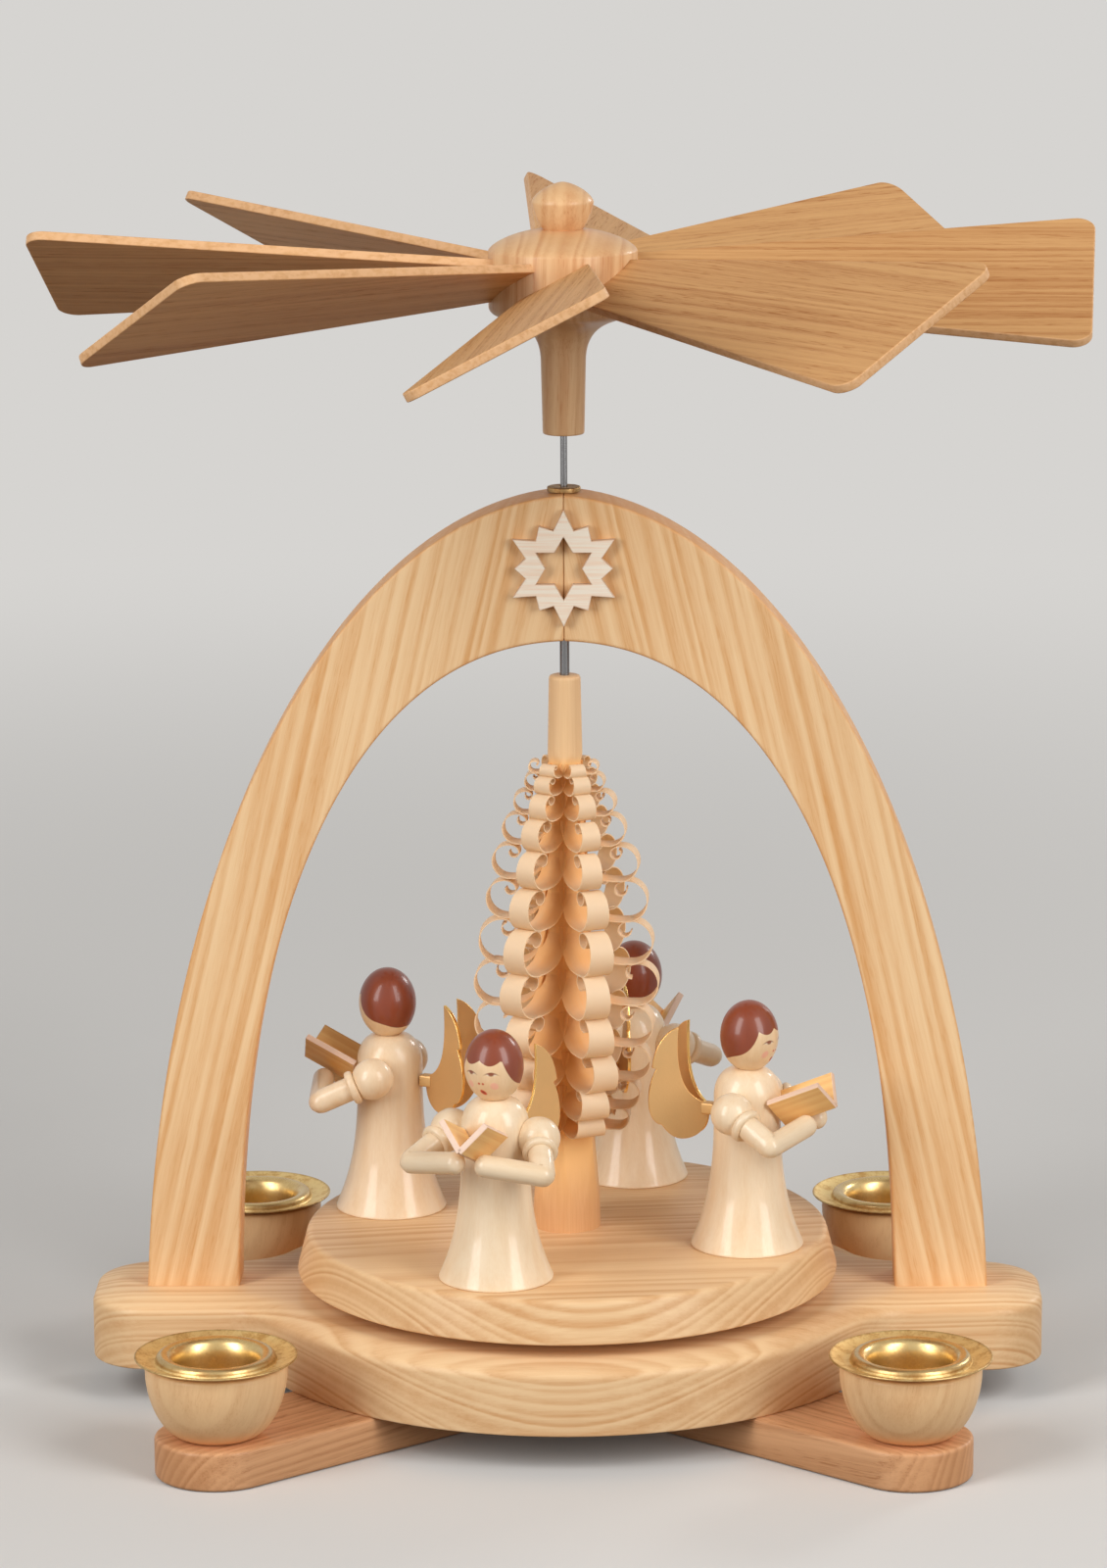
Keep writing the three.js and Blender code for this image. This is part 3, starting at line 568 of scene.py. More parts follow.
def eased(corners, ease, steps=4, closed=False):
    """A polyline with rounded corners: C + (1 - t)^2 a + t^2 b at each corner C.

    a and b point to its neighbours and have the ease as their length.
    """
    corners = np.asarray(corners, float)
    if closed:
        corners = np.concatenate([corners[-1:], corners, corners[:1]])
    here = corners[1:-1]
    ease = np.broadcast_to(ease, len(here))[:, None]
    back = unit(corners[:-2] - here) * ease
    ahead = unit(corners[2:] - here) * ease
    t = np.linspace(0, 1, steps + 1)[None, :, None]
    bends = here[:, None] + (1 - t) ** 2 * back[:, None] + t**2 * ahead[:, None]
    bends = bends.reshape(-1, corners.shape[1])
    return bends if closed else np.concatenate([corners[:1], bends, corners[-1:]])


def arc(centre, radius, start, end, steps):
    """Points of a circle from the start angle to the end angle, ends included."""
    a = np.linspace(start, end, steps + 1)
    return np.stack([centre[0] + radius * np.cos(a), centre[1] + radius * np.sin(a)], axis=1)


def bezier(points, steps):
    """A Bezier curve: neighbouring points are blended by t until one is left."""
    t = np.linspace(0, 1, steps + 1)[:, None]
    layer = [np.asarray(point, float) for point in points]
    while len(layer) > 1:
        layer = [(1 - t) * a + t * b for a, b in zip(layer, layer[1:])]
    return layer[0]


def quarter_oval(start, end, steps, point=1.0):
    """A quarter of an oval that leaves the start upright: (x1 + (x0 - x1) cos t, z0 + (z1 - z0) sin t).

    Sine and cosine are raised to the power point: 1 gives an ellipse, and more a straighter, more pointed
    quarter.
    """
    t = np.linspace(0, QUARTER, steps + 1)
    x = end[0] + (start[0] - end[0]) * np.cos(t) ** point
    z = start[1] + (end[1] - start[1]) * np.sin(t) ** point
    x[-1] = end[0]
    return np.stack([x, z], axis=1)


def rod(path, radii, sides=32):
    """A round rod along straight stretches: circles square to the path, sheared into the mitre at bends.

    The path's first point stands there twice, so that a first radius of 0 closes the end.
    """
    path = np.asarray(path, float)
    radii = np.asarray(radii, float)[:, None, None]
    steps = np.diff(path, axis=0)
    steps[0] = path[2] - path[0]
    steps = unit(steps)
    before = np.concatenate([steps[:1], steps])[:, None]
    after = np.concatenate([steps, steps[-1:]])[:, None]
    mitre = before + after
    side = unit(np.cross(UP, before))
    rise = np.cross(before, side)
    a = np.linspace(0, 2 * np.pi, sides, endpoint=False)[None, :, None]
    spokes = radii * (np.cos(a) * side + np.sin(a) * rise)
    slide = (spokes * mitre).sum(axis=2, keepdims=True) / (before * mitre).sum(axis=2, keepdims=True)
    points = (path[:, None] + spokes - before * slide).reshape(-1, 3)
    return welded(points, grid_faces(len(path), sides), {})


def smooth(value, start, end):
    """A soft step from 0 at the start to 1 at the end: 3 s^2 - 2 s^3."""
    s = np.clip((value - start) / (end - start), 0, 1)
    return s * s * (3 - 2 * s)


def add_object(name, data):
    """A new object in the scene, with a mesh, a light or a camera as its data."""
    item = bpy.data.objects.new(name, data)
    bpy.context.scene.collection.objects.link(item)
    return item


def add_piece(name, shape, finish_name, body, *nodes):
    """Makes a surface an object that rides on a body and stands for the given nodes of the frame."""
    material, slot = finish(finish_name)
    corners = np.concatenate([face.ravel() for face in shape.faces])
    counts = np.concatenate([np.full(len(face), face.shape[1]) for face in shape.faces])
    mesh = bpy.data.meshes.new(name)
    mesh.vertices.add(len(shape.points))
    mesh.vertices.foreach_set("co", shape.points.astype(np.float32).ravel())
    mesh.loops.add(len(corners))
    mesh.loops.foreach_set("vertex_index", corners.astype(np.int32))
    mesh.polygons.add(len(counts))
    mesh.polygons.foreach_set("loop_start", (np.cumsum(counts) - counts).astype(np.int32))
    mesh.polygons.foreach_set("use_smooth", np.ones(len(counts), bool))
    mesh.update(calc_edges=True)
    if mesh.validate():
        raise RuntimeError(f"{name} has faces that do not hold together")
    mesh.set_sharp_from_angle(angle=CREASE)
    marks = dict(shape.marks)
    if shape.fibre is not None:
        normals = np.empty(len(shape.points) * 3, np.float32)
        mesh.vertex_normals.foreach_get("vector", normals)
        marks["end_grain"] = (normals.reshape(-1, 3) * shape.fibre).sum(axis=1) ** 2
    for mark, values in marks.items():
        kind, field = ("FLOAT_VECTOR", "vector") if values.ndim == 2 else ("FLOAT", "value")
        mesh.attributes.new(mark, kind, "POINT").data.foreach_set(field, values.astype(np.float32).ravel())
    mesh.materials.append(material)
    piece = add_object(name, mesh)
    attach(piece, body)
    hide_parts(*nodes)


# Stand


def bar_shape(sizes, lower):
    """A cross bar along X: two arms up to the crossing bar's slanted edge and a half-height lap between.

    The slanted edge is x = (w / 2 + gap + y cos c) / sin c for a crossing angle c.
    """
    half = sizes.bar_width / 2
    crossing = 2 * sizes.bar_angle if lower else -2 * sizes.bar_angle
    lean = math.cos(crossing) / math.sin(crossing)
    cut = (half + sizes.lap_gap) / abs(math.sin(crossing))
    near, far = cut + half * lean, cut - half * lean
    end = arc((sizes.cup_distance, 0), half, -QUARTER, QUARTER, 40)
    outline = np.concatenate([[[near, -half]], end, [[far, half]]])
    arm = board(outline, sizes.bar_top, sizes.bar_ease)
    lap = np.array([[near, -half], [far, half], [-near, half], [-far, -half]])
    block = board(lap, sizes.bar_top / 2, sizes.bar_ease / 4)
    level = sizes.bar_top / 4 if lower else 3 * sizes.bar_top / 4
    return joined(
        arm.shifted((0, 0, sizes.bar_top / 2)),
        arm.moved(turn_about("Z", math.pi), (0, 0, sizes.bar_top / 2)),
        block.shifted((0, 0, level)),
    )


def cup_shape(sizes):
    """A turned cup: a quarter-oval bowl from foot to rim, an eased lip and the bore for the socket."""
    height = sizes.cup_top - sizes.bar_top
    bowl = quarter_oval((sizes.cup_rim, sizes.cup_bowl), (sizes.cup_foot, 0), 24, sizes.cup_point)[::-1]
    corners = [
        [sizes.cup_rim, sizes.cup_bowl],
        [sizes.cup_rim, height],
        [sizes.cup_bore, height],
        [sizes.cup_bore, sizes.cup_floor],
        [0, sizes.cup_floor],
    ]
    outer_lip, inner_lip, bore_foot = 0.9 * MM, 0.5 * MM, 0.4 * MM
    lip = eased(corners, [outer_lip, inner_lip, bore_foot])
    return revolved(np.concatenate([[[0, 0]], bowl, lip[1:]]))


def socket_shape(sizes):
    """A pressed brass socket: a dished tray, a round bead and a bell mouth that narrows into the tube."""
    height = sizes.cup_top - sizes.bar_top
    outside = sizes.candle_radius + sizes.socket_wall
    mouth = height + sizes.socket_wall
    bead = (outside + sizes.bead_inset, mouth)
    tray_foot = bead[0] + sizes.bead_radius
    brim = height + sizes.tray_rise
    corners = [
        [0, sizes.cup_floor],
        [outside, sizes.cup_floor],
        [outside, height],
        [tray_foot, height],
        [sizes.tray_radius, brim],
    ]
    tube_ease, collar_ease, tray_ease = 0.8 * MM, 0.3 * MM, 0.6 * MM
    below = eased(corners, [tube_ease, collar_ease, tray_ease])
    half_lip = sizes.tray_lip / 2
    lip = arc((sizes.tray_radius - half_lip, brim + half_lip), half_lip, -QUARTER, QUARTER, 6)
    dish_floor = mouth - 0.35 * MM
    dish_far, dish_near = tray_foot + 2.0 * MM, tray_foot + 0.3 * MM
    dish = bezier([lip[-1], [dish_far, dish_floor], [dish_near, dish_floor]], 10)
    crown = arc(bead, sizes.bead_radius, 0, QUARTER, 12)
    top = mouth + sizes.bead_radius
    bell = bezier(
        [
            [bead[0], top],
            [(bead[0] + 2 * sizes.candle_radius) / 3, top],
            [sizes.candle_radius, top - 0.3 * sizes.mouth_depth],
            [sizes.candle_radius, top - sizes.mouth_depth],
        ],
        18,
    )
    floor = sizes.cup_floor + sizes.socket_wall
    inside = eased([bell[-1], [sizes.candle_radius, floor], [0, floor]], tube_ease)
    # Stretches of the profile, each with its brightness and its painted shade at both ends: shadow at the
    # lip and dark reflection on the bead's outer wall and in the mouth
    stretches = [
        (below[:-1], (0, 0), (0, 0)),
        (lip, (0.2, 0.2), (0.6, 0.6)),
        (dish[1:], (0, 0), (0, 0)),
        (crown, (0.3, 1), (0.7, 0.5)),
        (bell[1:], (1, 0.5), (0.4, 0)),
        (inside[1:], (0.5, 0.2), (0, 0)),
    ]
    bright = np.concatenate([np.linspace(*ends, len(stretch)) for stretch, ends, _ in stretches])
    aged = np.concatenate([np.linspace(*ends, len(stretch)) for stretch, _, ends in stretches])
    profile = np.concatenate([stretch for stretch, _, _ in stretches])
    return revolved(profile, sides=128, bright=bright, aged=aged)


def plate_outline(sizes, inset):
    """The base plate's outline moved in by an inset, anticlockwise from the right ear.

    A quarter is the ear's corner, the hollow fillet and the plate's arc; all radii follow the inset.
    """
    offset = sizes.base_arc - sizes.base_depth
    hollow_y = sizes.ear_half_depth + sizes.ear_fillet
    hollow_x = math.sqrt((sizes.base_arc + sizes.ear_fillet) ** 2 - (hollow_y + offset) ** 2)
    meeting = math.atan2(hollow_y + offset, hollow_x)
    corner = (sizes.base_length - sizes.ear_corner, sizes.ear_half_depth - sizes.ear_corner)
    quarter = np.concatenate(
        [
            arc(corner, sizes.ear_corner - inset, 0, QUARTER, 20),
            arc((hollow_x, hollow_y), sizes.ear_fillet + inset, -QUARTER, meeting - math.pi, 20),
            arc((0, -offset), sizes.base_arc - inset, meeting, QUARTER, 60)[1:],
        ]
    )
    back = np.concatenate([quarter, (quarter * [-1, 1])[::-1][1:]])
    return np.concatenate([back, -back])


def plate_shape(sizes):
    """The base plate: an upright side, a wide shallow bevel with soft breaks and a flat top."""
    foot_ease, side_ease, top_ease = 0.5 * MM, 1.6 * MM, 2.2 * MM
    corners = [
        [3 * foot_ease, sizes.bar_top],
        [0, sizes.bar_top],
        [0, sizes.base_top - sizes.base_bevel_drop],
        [sizes.base_bevel_width, sizes.base_top],
        [2 * sizes.base_bevel_width, sizes.base_top],
    ]
    profile = eased(corners, [foot_ease, side_ease, top_ease], steps=6)[:-1]
    flat = np.stack([plate_outline(sizes, inset) for inset in profile[:, 0]])
    return slab(raised(flat, profile[:, 1]), np.zeros(len(profile)))


def arch_curve(half, rise, seam, datum, point, fullness):
    """A pointed oval's right half: x = (half + point) cos(t)^(2/n) - point, z = h sin(t)^(2/n) - datum.

    h is set so that the curve meets the seam, x = 0, at the rise. Just before it comes one more station.
    """
    width = half + point
    height = (rise + datum) / (1 - (point / width) ** fullness) ** (1 / fullness)
    start = math.asin((datum / height) ** (fullness / 2))
    end = math.acos((point / width) ** (fullness / 2))
    t = np.linspace(start, end, 111)
    x = width * np.cos(t) ** (2 / fullness) - point
    z = height * np.sin(t) ** (2 / fullness) - datum
    curve = np.stack([x, z], axis=1)
    return np.concatenate([curve[:-1], curve[-1:] + [seam, 0], curve[-1:]])


def arch_shape(sizes):
    """The right half of the arch: a rounded oblong section carried from the foot to the seam.

    At a station the section reaches from the inner to the outer oval; at the seam its edges are pinched.
    """
    rise = sizes.arch_top - sizes.base_top
    seam = sizes.seam_ease
    outer_oval = sizes.outer_datum, sizes.outer_point, sizes.outer_fullness
    inner_oval = sizes.inner_datum, sizes.inner_point, sizes.inner_fullness
    outer = arch_curve(sizes.arch_half, rise, seam, *outer_oval)
    inner = arch_curve(sizes.arch_half - sizes.arch_leg, rise - sizes.arch_crown, seam, *inner_oval)
    pinch = np.zeros(len(outer))
    pinch[-1] = seam
    half = sizes.arch_thickness / 2
    side, edge = board_edge(sizes.arch_thickness, sizes.arch_ease, reach=2)
    section = np.concatenate([side, side[::-1]])
    from_outer = (np.arange(len(section)) < len(side))[None, :, None]
    inset = section[None, :, :1] + pinch[:, None, None]
    depth = section[:, 1] * (1 - pinch[:, None] / half)
    across = unit(outer - inner)[:, None]
    flat = np.where(from_outer, outer[:, None] - inset * across, inner[:, None] + inset * across)
    points = np.stack([flat[..., 0], depth, flat[..., 1] + sizes.base_top], axis=-1)
    rows, columns = depth.shape
    marks = {
        "seam": np.repeat(pinch / seam, columns),
        "edge": np.tile(np.concatenate([edge, edge[::-1]]), rows),
    }
    return Shape(points.reshape(-1, 3), closed_faces(rows, columns), marks)


def star_outline(radii, corners):
    """Corners at equal angles from the top, anticlockwise, with the radii taken in turn."""
    a = QUARTER + np.linspace(0, 2 * np.pi, corners, endpoint=False)
    r = np.resize(radii, corners)
    return np.stack([r * np.cos(a), r * np.sin(a)], axis=1)


def star_shape(sizes):
    """A star with an opening: an edge profile carried round both outlines, joined by flat strips."""
    corners = 24
    outline = star_outline([sizes.star_long, sizes.star_notch, sizes.star_short, sizes.star_notch], corners)
    points = star_outline([sizes.star_hole_point, sizes.star_hole_notch], corners // 2)
    halves = (points + np.roll(points, -1, axis=0)) / 2
    opening = np.stack([points, halves], axis=1).reshape(-1, 2)
    profile, edge = board_edge(sizes.star_thickness, sizes.star_ease)
    outside = rim(outline, profile)
    inside = rim(np.roll(opening[::-1], 1, axis=0), profile)
    rows, columns = outside.shape[:2]
    there = np.arange(columns)
    back = (-there) % columns + rows * columns
    ahead = np.roll(there, -1)
    back_ahead = np.roll(back, -1)
    lift = (rows - 1) * columns
    front_faces = np.stack([there + lift, ahead + lift, back_ahead + lift, back + lift], axis=1)
    rear_faces = np.stack([ahead, there, back, back_ahead], axis=1)
    faces = [grid_faces(rows, columns), grid_faces(rows, columns) + rows * columns, front_faces, rear_faces]
    marks = {"edge": np.tile(np.repeat(edge, columns), 2)}
    return Shape(np.concatenate([outside, inside]).reshape(-1, 3), faces, marks)


def bush_shape(sizes):
    """A turned brass bush: a sleeve in the wood and a flange with a rounded edge on it."""
    foot = sizes.arch_top - sizes.bush_depth
    top = sizes.arch_top + sizes.bush_rise
    corners = [
        [sizes.bush_bore, foot],
        [sizes.bush_sleeve, foot],
        [sizes.bush_sleeve, sizes.arch_top],
        [sizes.bush_flange, sizes.arch_top],
        [sizes.bush_flange, top],
        [sizes.bush_bore, top],
    ]
    eases = np.array([0.1, 0.2, 0.1, 0.15, 0.35, 0.2]) * MM
    profile = eased(corners, eases, closed=True)
    # The whole bush is darkened brass, its own colour
    return revolved(profile, sides=64, ring=True, aged=np.ones(len(profile)))


def bearing_shape(sizes, lowest, radius):
    """The foot bearing: a brass stud with a conical seat for the spindle's point."""
    top = sizes.base_top
    seat = [[radius / 2, top], [0, top - sizes.bearing_recess]]
    ease = 0.3 * MM
    profile = eased([[0, lowest], [radius, lowest], [radius, top], *seat], ease)
    return revolved(profile, sides=64, bright=np.full(len(profile), 0.5))


def dowel_shape(lowest, highest, radius):
    """A glued dowel with rounded ends."""
    corners = [[0, lowest], [radius, lowest], [radius, highest], [0, highest]]
    ease = 0.6 * MM
    return revolved(eased(corners, ease), sides=48)


# Wheel


def spindle_shape(wheel, stand):
    """The steel spindle: a pointed foot, a shoulder under the bush and a slimmer neck up into the hub."""
    clearance = 0.2 * MM
    shoulder = stand.arch_top - stand.bush_depth - clearance
    corners = [
        [0, wheel.spindle_foot],
        [wheel.spindle_radius, wheel.spindle_foot + wheel.spindle_tip],
        [wheel.spindle_radius, shoulder - wheel.spindle_radius],
        [wheel.spindle_neck, shoulder],
        [wheel.spindle_neck, wheel.spindle_top],
        [0, wheel.spindle_top],
    ]
    eases = np.array([0.5, 0.2, 0.2, 0.3]) * MM
    return revolved(eased(corners, eases), sides=40)


def drum_heights(wheel):
    """Heights of the drum's foot and top, of the knob's foot and of its ridge."""
    drum_foot = wheel.hub_foot + wheel.stem_length + wheel.flare_length
    ridge = wheel.hub_top - wheel.knob_cap
    knob_foot = ridge - wheel.knob_bowl
    return drum_foot, knob_foot - wheel.dome_rise, knob_foot, ridge


def hub_shape(wheel):
    """The turned hub: a stem, a flare, a straight drum, a pointed dome and a knob with a ridge round it."""
    drum_foot, drum_top, knob_foot, ridge = drum_heights(wheel)
    flare_foot = wheel.hub_foot + wheel.stem_length
    foot, foot_ease = [wheel.stem_radius, wheel.hub_foot], 0.5 * MM
    stem = eased([[0, wheel.hub_foot], foot, [wheel.stem_top, flare_foot]], foot_ease)
    flare = bezier(
        [
            [wheel.stem_top, flare_foot],
            [wheel.stem_top, flare_foot + wheel.flare_ease * wheel.flare_length],
            [wheel.drum_radius, drum_foot - wheel.drum_ease * wheel.flare_length],
            [wheel.drum_radius, drum_foot],
        ],
        40,
    )
    dome = quarter_oval((wheel.drum_radius, drum_top), (wheel.knob_neck, knob_foot), 30, wheel.crown_point)
    belly = (wheel.knob_neck + 2 * wheel.knob_radius) / 3
    bowl = bezier(
        [[wheel.knob_neck, knob_foot], [belly, (2 * knob_foot + ridge) / 3], [wheel.knob_radius, ridge]], 16
    )
    cap = quarter_oval((wheel.knob_radius, ridge), (0, wheel.hub_top), 20, wheel.crown_point)
    return revolved(np.concatenate([stem[:-1], flare, dome, bowl[1:], cap[1:]]), sides=128)


def blade_shape(wheel):
    """A tapering board along X from its tenon in the drum, with round corners at its end."""
    root = wheel.drum_radius - wheel.blade_tenon
    gain = (wheel.blade_tip - wheel.blade_root) / (wheel.blade_reach - wheel.drum_radius) / 2
    slope = math.atan(gain)
    half_root = wheel.blade_root / 2 + gain * (root - wheel.drum_radius)
    corner_x = wheel.blade_reach - wheel.blade_corner
    half_corner = wheel.blade_root / 2 + gain * (corner_x - wheel.drum_radius)
    corner_y = half_corner - wheel.blade_corner / math.cos(slope)
    turn = QUARTER + slope
    outline = np.concatenate(
        [
            [[root, -half_root]],
            arc((corner_x, -corner_y), wheel.blade_corner, -turn, 0, 16),
            arc((corner_x, corner_y), wheel.blade_corner, 0, turn, 16),
            [[root, half_root]],
        ]
    )
    return board(outline, wheel.blade_thickness, wheel.blade_ease)


# Turntable and tree


def turntable_shape(sizes, bore):
    """A disc whose edge leans in, with rounded edges, bored for the spindle."""
    corners = [
        [bore, sizes.table_floor],
        [sizes.table_radius, sizes.table_floor],
        [sizes.table_radius - sizes.table_taper, sizes.table_top],
        [bore, sizes.table_top],
    ]
    bore_ease = 0.3 * MM
    eases = [bore_ease, sizes.table_ease / 2, sizes.table_ease, bore_ease]
    return revolved(eased(corners, eases, steps=6, closed=True), sides=192, ring=True)


def stick_radius(sizes, z):
    """The stick's radius at a height, tapering in straight stretches."""
    heights = [
        sizes.table_top,
        sizes.table_top + sizes.stick_bare_foot,
        sizes.tree_top - sizes.stick_bare_top,
        sizes.tree_top,
    ]
    return np.interp(z, heights, [sizes.stick_foot, sizes.stick_low, sizes.stick_high, sizes.stick_top])


def stick_shape(sizes):
    """The stick: r = min(R, F / cos b) for its round radius R and the distance F of the pared faces.

    b is the angle from a face's middle. The faces fade into the round foot and stop below the bare top. The
    cap's rings are a share of the radius and a rise each.
    """
    cap = np.array([[0.985, 0.45 * MM], [0.93, 0.75 * MM], [0.82, 0.9 * MM], [0, 0.9 * MM]])
    curl_top = sizes.tree_top - sizes.stick_bare_top
    z = np.linspace(sizes.table_top, sizes.tree_top - cap[-1, 1], 150)
    face = 2 * np.pi / sizes.curl_columns
    around = np.linspace(0, 2 * np.pi, 16 * sizes.curl_columns, endpoint=False)
    from_face = np.abs((around + face / 2) % face - face / 2)
    round_radius = stick_radius(sizes, z)
    fade_in = smooth(z, sizes.table_top + 3 * MM, sizes.table_top + 0.8 * sizes.stick_bare_foot)
    fade_out = smooth(z, curl_top + 0.5 * MM, curl_top + 3 * MM)
    pared = fade_in * (1 - fade_out)
    flat = round_radius * (1 - (1 - math.cos(face / 2)) * pared)
    r = np.minimum(round_radius[:, None], flat[:, None] / np.cos(from_face)[None])
    r = np.concatenate([np.zeros((1, len(around))), r, cap[:, :1] * r[-1:]])
    z = np.concatenate([z[:1], z, z[-1] + cap[:, 1]])
    heading = around + sizes.tree_turn
    points = np.stack([r * np.cos(heading), r * np.sin(heading), z[:, None] + 0 * r], axis=-1)
    bare = np.repeat(np.concatenate([[1], 1 - pared, np.ones(len(cap))]), len(around))
    # Its pared faces take the shavings' painted shade near the stick
    marks = {"reach": np.zeros(r.size), "thin": np.zeros(r.size), "bare": bare}
    return welded(points.reshape(-1, 3), grid_faces(*r.shape), marks)


def curl_rows(sizes):
    """Reach, roll and height of the rows of curls, stacked from the top down to fill their stretch."""
    down = np.linspace(0, 1, sizes.curl_rows)
    swell = np.sin(np.pi * down**sizes.curl_swell / sizes.curl_swell_end)
    spread = np.sin(np.pi * down / (2 * sizes.curl_widest)) ** sizes.curl_spread
    roll = sizes.curl_small + (sizes.curl_large - sizes.curl_small) * swell
    reach = sizes.curl_top_reach + (sizes.curl_reach - sizes.curl_top_reach) * spread
    stack = np.concatenate([[0], np.cumsum((roll[1:] + roll[:-1]) / 2)])
    curl_top = sizes.tree_top - sizes.stick_bare_top
    fit = (curl_top - sizes.table_top - sizes.stick_bare_foot) / stack[-1]
    return reach, roll * fit, curl_top - stack * fit


def pared_distance(sizes, height):
    """Distance of the pared faces from the axis at a height."""
    return stick_radius(sizes, height) * math.cos(math.pi / sizes.curl_columns)


def curl_paths(sizes, reach, roll, height, end):
    """Paths of the shavings in radius and height, traced by their heading, 0 being outwards and level.

    Each step of the heading goes forward by the bend's radius: 1 round the hoop, and past its top falling
    softly to the tight end's. The stretch before the lowest point is drawn out to the stick, and a power of
    its distance from the hoop keeps it close along the stick.
    """
    heading = sizes.curl_start + np.linspace(0, 1, 66) * (end - sizes.curl_start)
    between = (heading[:, 1:] + heading[:, :-1]) / 2
    closed = 1 / (1 + np.exp((between - sizes.curl_close) / sizes.curl_soft))
    step = np.diff(heading, axis=1) * (sizes.curl_tight + (1 - sizes.curl_tight) * closed)
    first_r = np.full_like(end, math.sin(sizes.curl_start))
    first_z = np.full_like(end, 1 - math.cos(sizes.curl_start))
    r = np.cumsum(np.concatenate([first_r, step * np.cos(between)], axis=1), axis=1)
    z = np.cumsum(np.concatenate([first_z, step * np.sin(between)], axis=1), axis=1)
    hoop = roll / 2
    lowest = reach - sizes.curl_thickness / 2 - hoop
    start = pared_distance(sizes, height + (sizes.curl_lift - 0.5) * roll) - sizes.curl_thickness
    leaving = heading < 0
    drawn = np.clip(r / first_r, 0, 1) ** sizes.curl_hug
    r = lowest + np.where(leaving, (start - lowest) * drawn, hoop * r)
    z = height - hoop + np.where(leaving, sizes.curl_lift * roll * z / first_z, hoop * z)
    return r, z


def curls_shape(sizes):
    """All shavings: a thin oblong section carried along each path, turned to its column.

    Chance plays with the heading, the end, the reach and the roll of each. The topmost and the lowest ones
    end sooner.
    """
    chance = np.random.default_rng(12)
    rows, columns = sizes.curl_rows, sizes.curl_columns
    most = 2 * sizes.curl_jitter
    play = np.clip(chance.normal(0, sizes.curl_jitter, (4, rows * columns, 1)), -most, most)
    sway, stop, pull, swell = np.array([0.6, 1.3, 0.6, 0.6])[:, None, None] * play
    reach, roll, height = (np.repeat(row, columns)[:, None] for row in curl_rows(sizes))
    column = np.tile(np.arange(columns), rows)[:, None]
    up = np.repeat(np.linspace(1, 0, rows), columns)[:, None]
    heading = sizes.tree_turn + 2 * np.pi * column / columns + sway
    end = sizes.curl_end * (1 - 0.3 * up**6 - 0.34 * (1 - up) ** 1.5 + stop)
    reach = reach * (1 - np.abs(pull))
    r, z = curl_paths(sizes, reach, roll * (1 + swell), height, end)
    step_r, step_z = np.gradient(r, axis=1), np.gradient(z, axis=1)
    length = np.hypot(step_r, step_z)
    normal_r, normal_z = -step_z / length, step_r / length
    face = 2 * stick_radius(sizes, height) * math.sin(math.pi / columns)
    along = np.linspace(0, 1, r.shape[1])[None]
    width = face * (sizes.curl_tip + (sizes.curl_width - sizes.curl_tip) * (1 - along) ** 1.4)
    side = np.array([1, 1, -1, -1]) / 2
    layer = np.array([1, -1, -1, 1]) * sizes.curl_thickness / 2
    section_r = r[..., None] + normal_r[..., None] * layer
    section_z = z[..., None] + normal_z[..., None] * layer
    section_y = width[..., None] * side
    cos, sin = np.cos(heading)[..., None], np.sin(heading)[..., None]
    x = section_r * cos - section_y * sin
    y = section_r * sin + section_y * cos
    points = np.stack([x, y, section_z], axis=-1).reshape(-1, 3)
    curls, stations = r.shape
    number = np.arange(curls)[:, None, None]
    block = number * stations * 4
    skin = (grid_faces(stations, 4)[None] + block).reshape(-1, 4)
    start = (np.array([[3, 2, 1, 0]])[None] + block).reshape(-1, 4)
    tip = (np.array([[0, 1, 2, 3]])[None] + (stations - 1) * 4 + block).reshape(-1, 4)
    run = np.cumsum(length, axis=1)[..., None] / MM
    grain = np.stack(np.broadcast_arrays(run, section_y / MM, 17.0 * number), axis=-1)
    inner = pared_distance(sizes, height)
    # Painted shade and light: the mark runs from 0 near the stick, the painted shade, to 1 outside; the
    # tight ends are lifted towards pale as painted light
    out = np.clip((r - inner) / (reach - inner) + 0.4 * along**2, 0, 1)
    marks = {
        "grain": grain.reshape(-1, 3),
        "reach": np.repeat(out.reshape(-1), 4),
        "thin": np.ones(len(points)),
        "bare": np.zeros(len(points)),
    }
    return Shape(points, [skin, start, tip], marks)


# Angels


class Angel:
    """One of the angels: its number, its turn as a matrix and its place on the turntable."""

    def __init__(self, number, turn, place):
        self.number = number
        self.turn = turn
        self.place = place

    def add(self, part, shape, finish_name, side=""):
        """Sets one of the angel's pieces in its place."""
        node = f"angel_{self.number}_{part}{side}"
        shape = shape.moved(self.turn, self.place)
        add_piece(f"{part}_{self.number}{side}", shape, finish_name, "rotor", node)


def all_angels(scene):
    """The angels, at equal angles round the spindle."""
    sizes = scene.pyramid_angels
    for index in range(sizes.angel_count):
        turn = turn_about("Z", sizes.angel_turn + 2 * math.pi * index / sizes.angel_count)
        place = turn @ [sizes.angel_ring, 0, 0] + [0, 0, scene.pyramid_table.table_top]
        yield Angel(index + 1, turn, place)


def gown_shape(sizes):
    """A bell: r = waist + (hem - waist) (1 - z / flare)^n, then an upright waist and domed shoulders."""
    z = np.linspace(sizes.hem_ease, sizes.flare, 40)
    r = sizes.waist + (sizes.hem - sizes.waist) * (1 - z / sizes.flare) ** sizes.flare_power
    flare = np.stack([r, z], axis=1)
    hem = eased([[0, 0], [sizes.hem, 0], flare[0]], sizes.hem_ease * 0.7)
    dome = quarter_oval((sizes.waist, sizes.shoulder), (sizes.neck, sizes.neck_height), 24)
    return revolved(np.concatenate([hem[:-1], flare, dome, [[0, sizes.neck_height]]]))


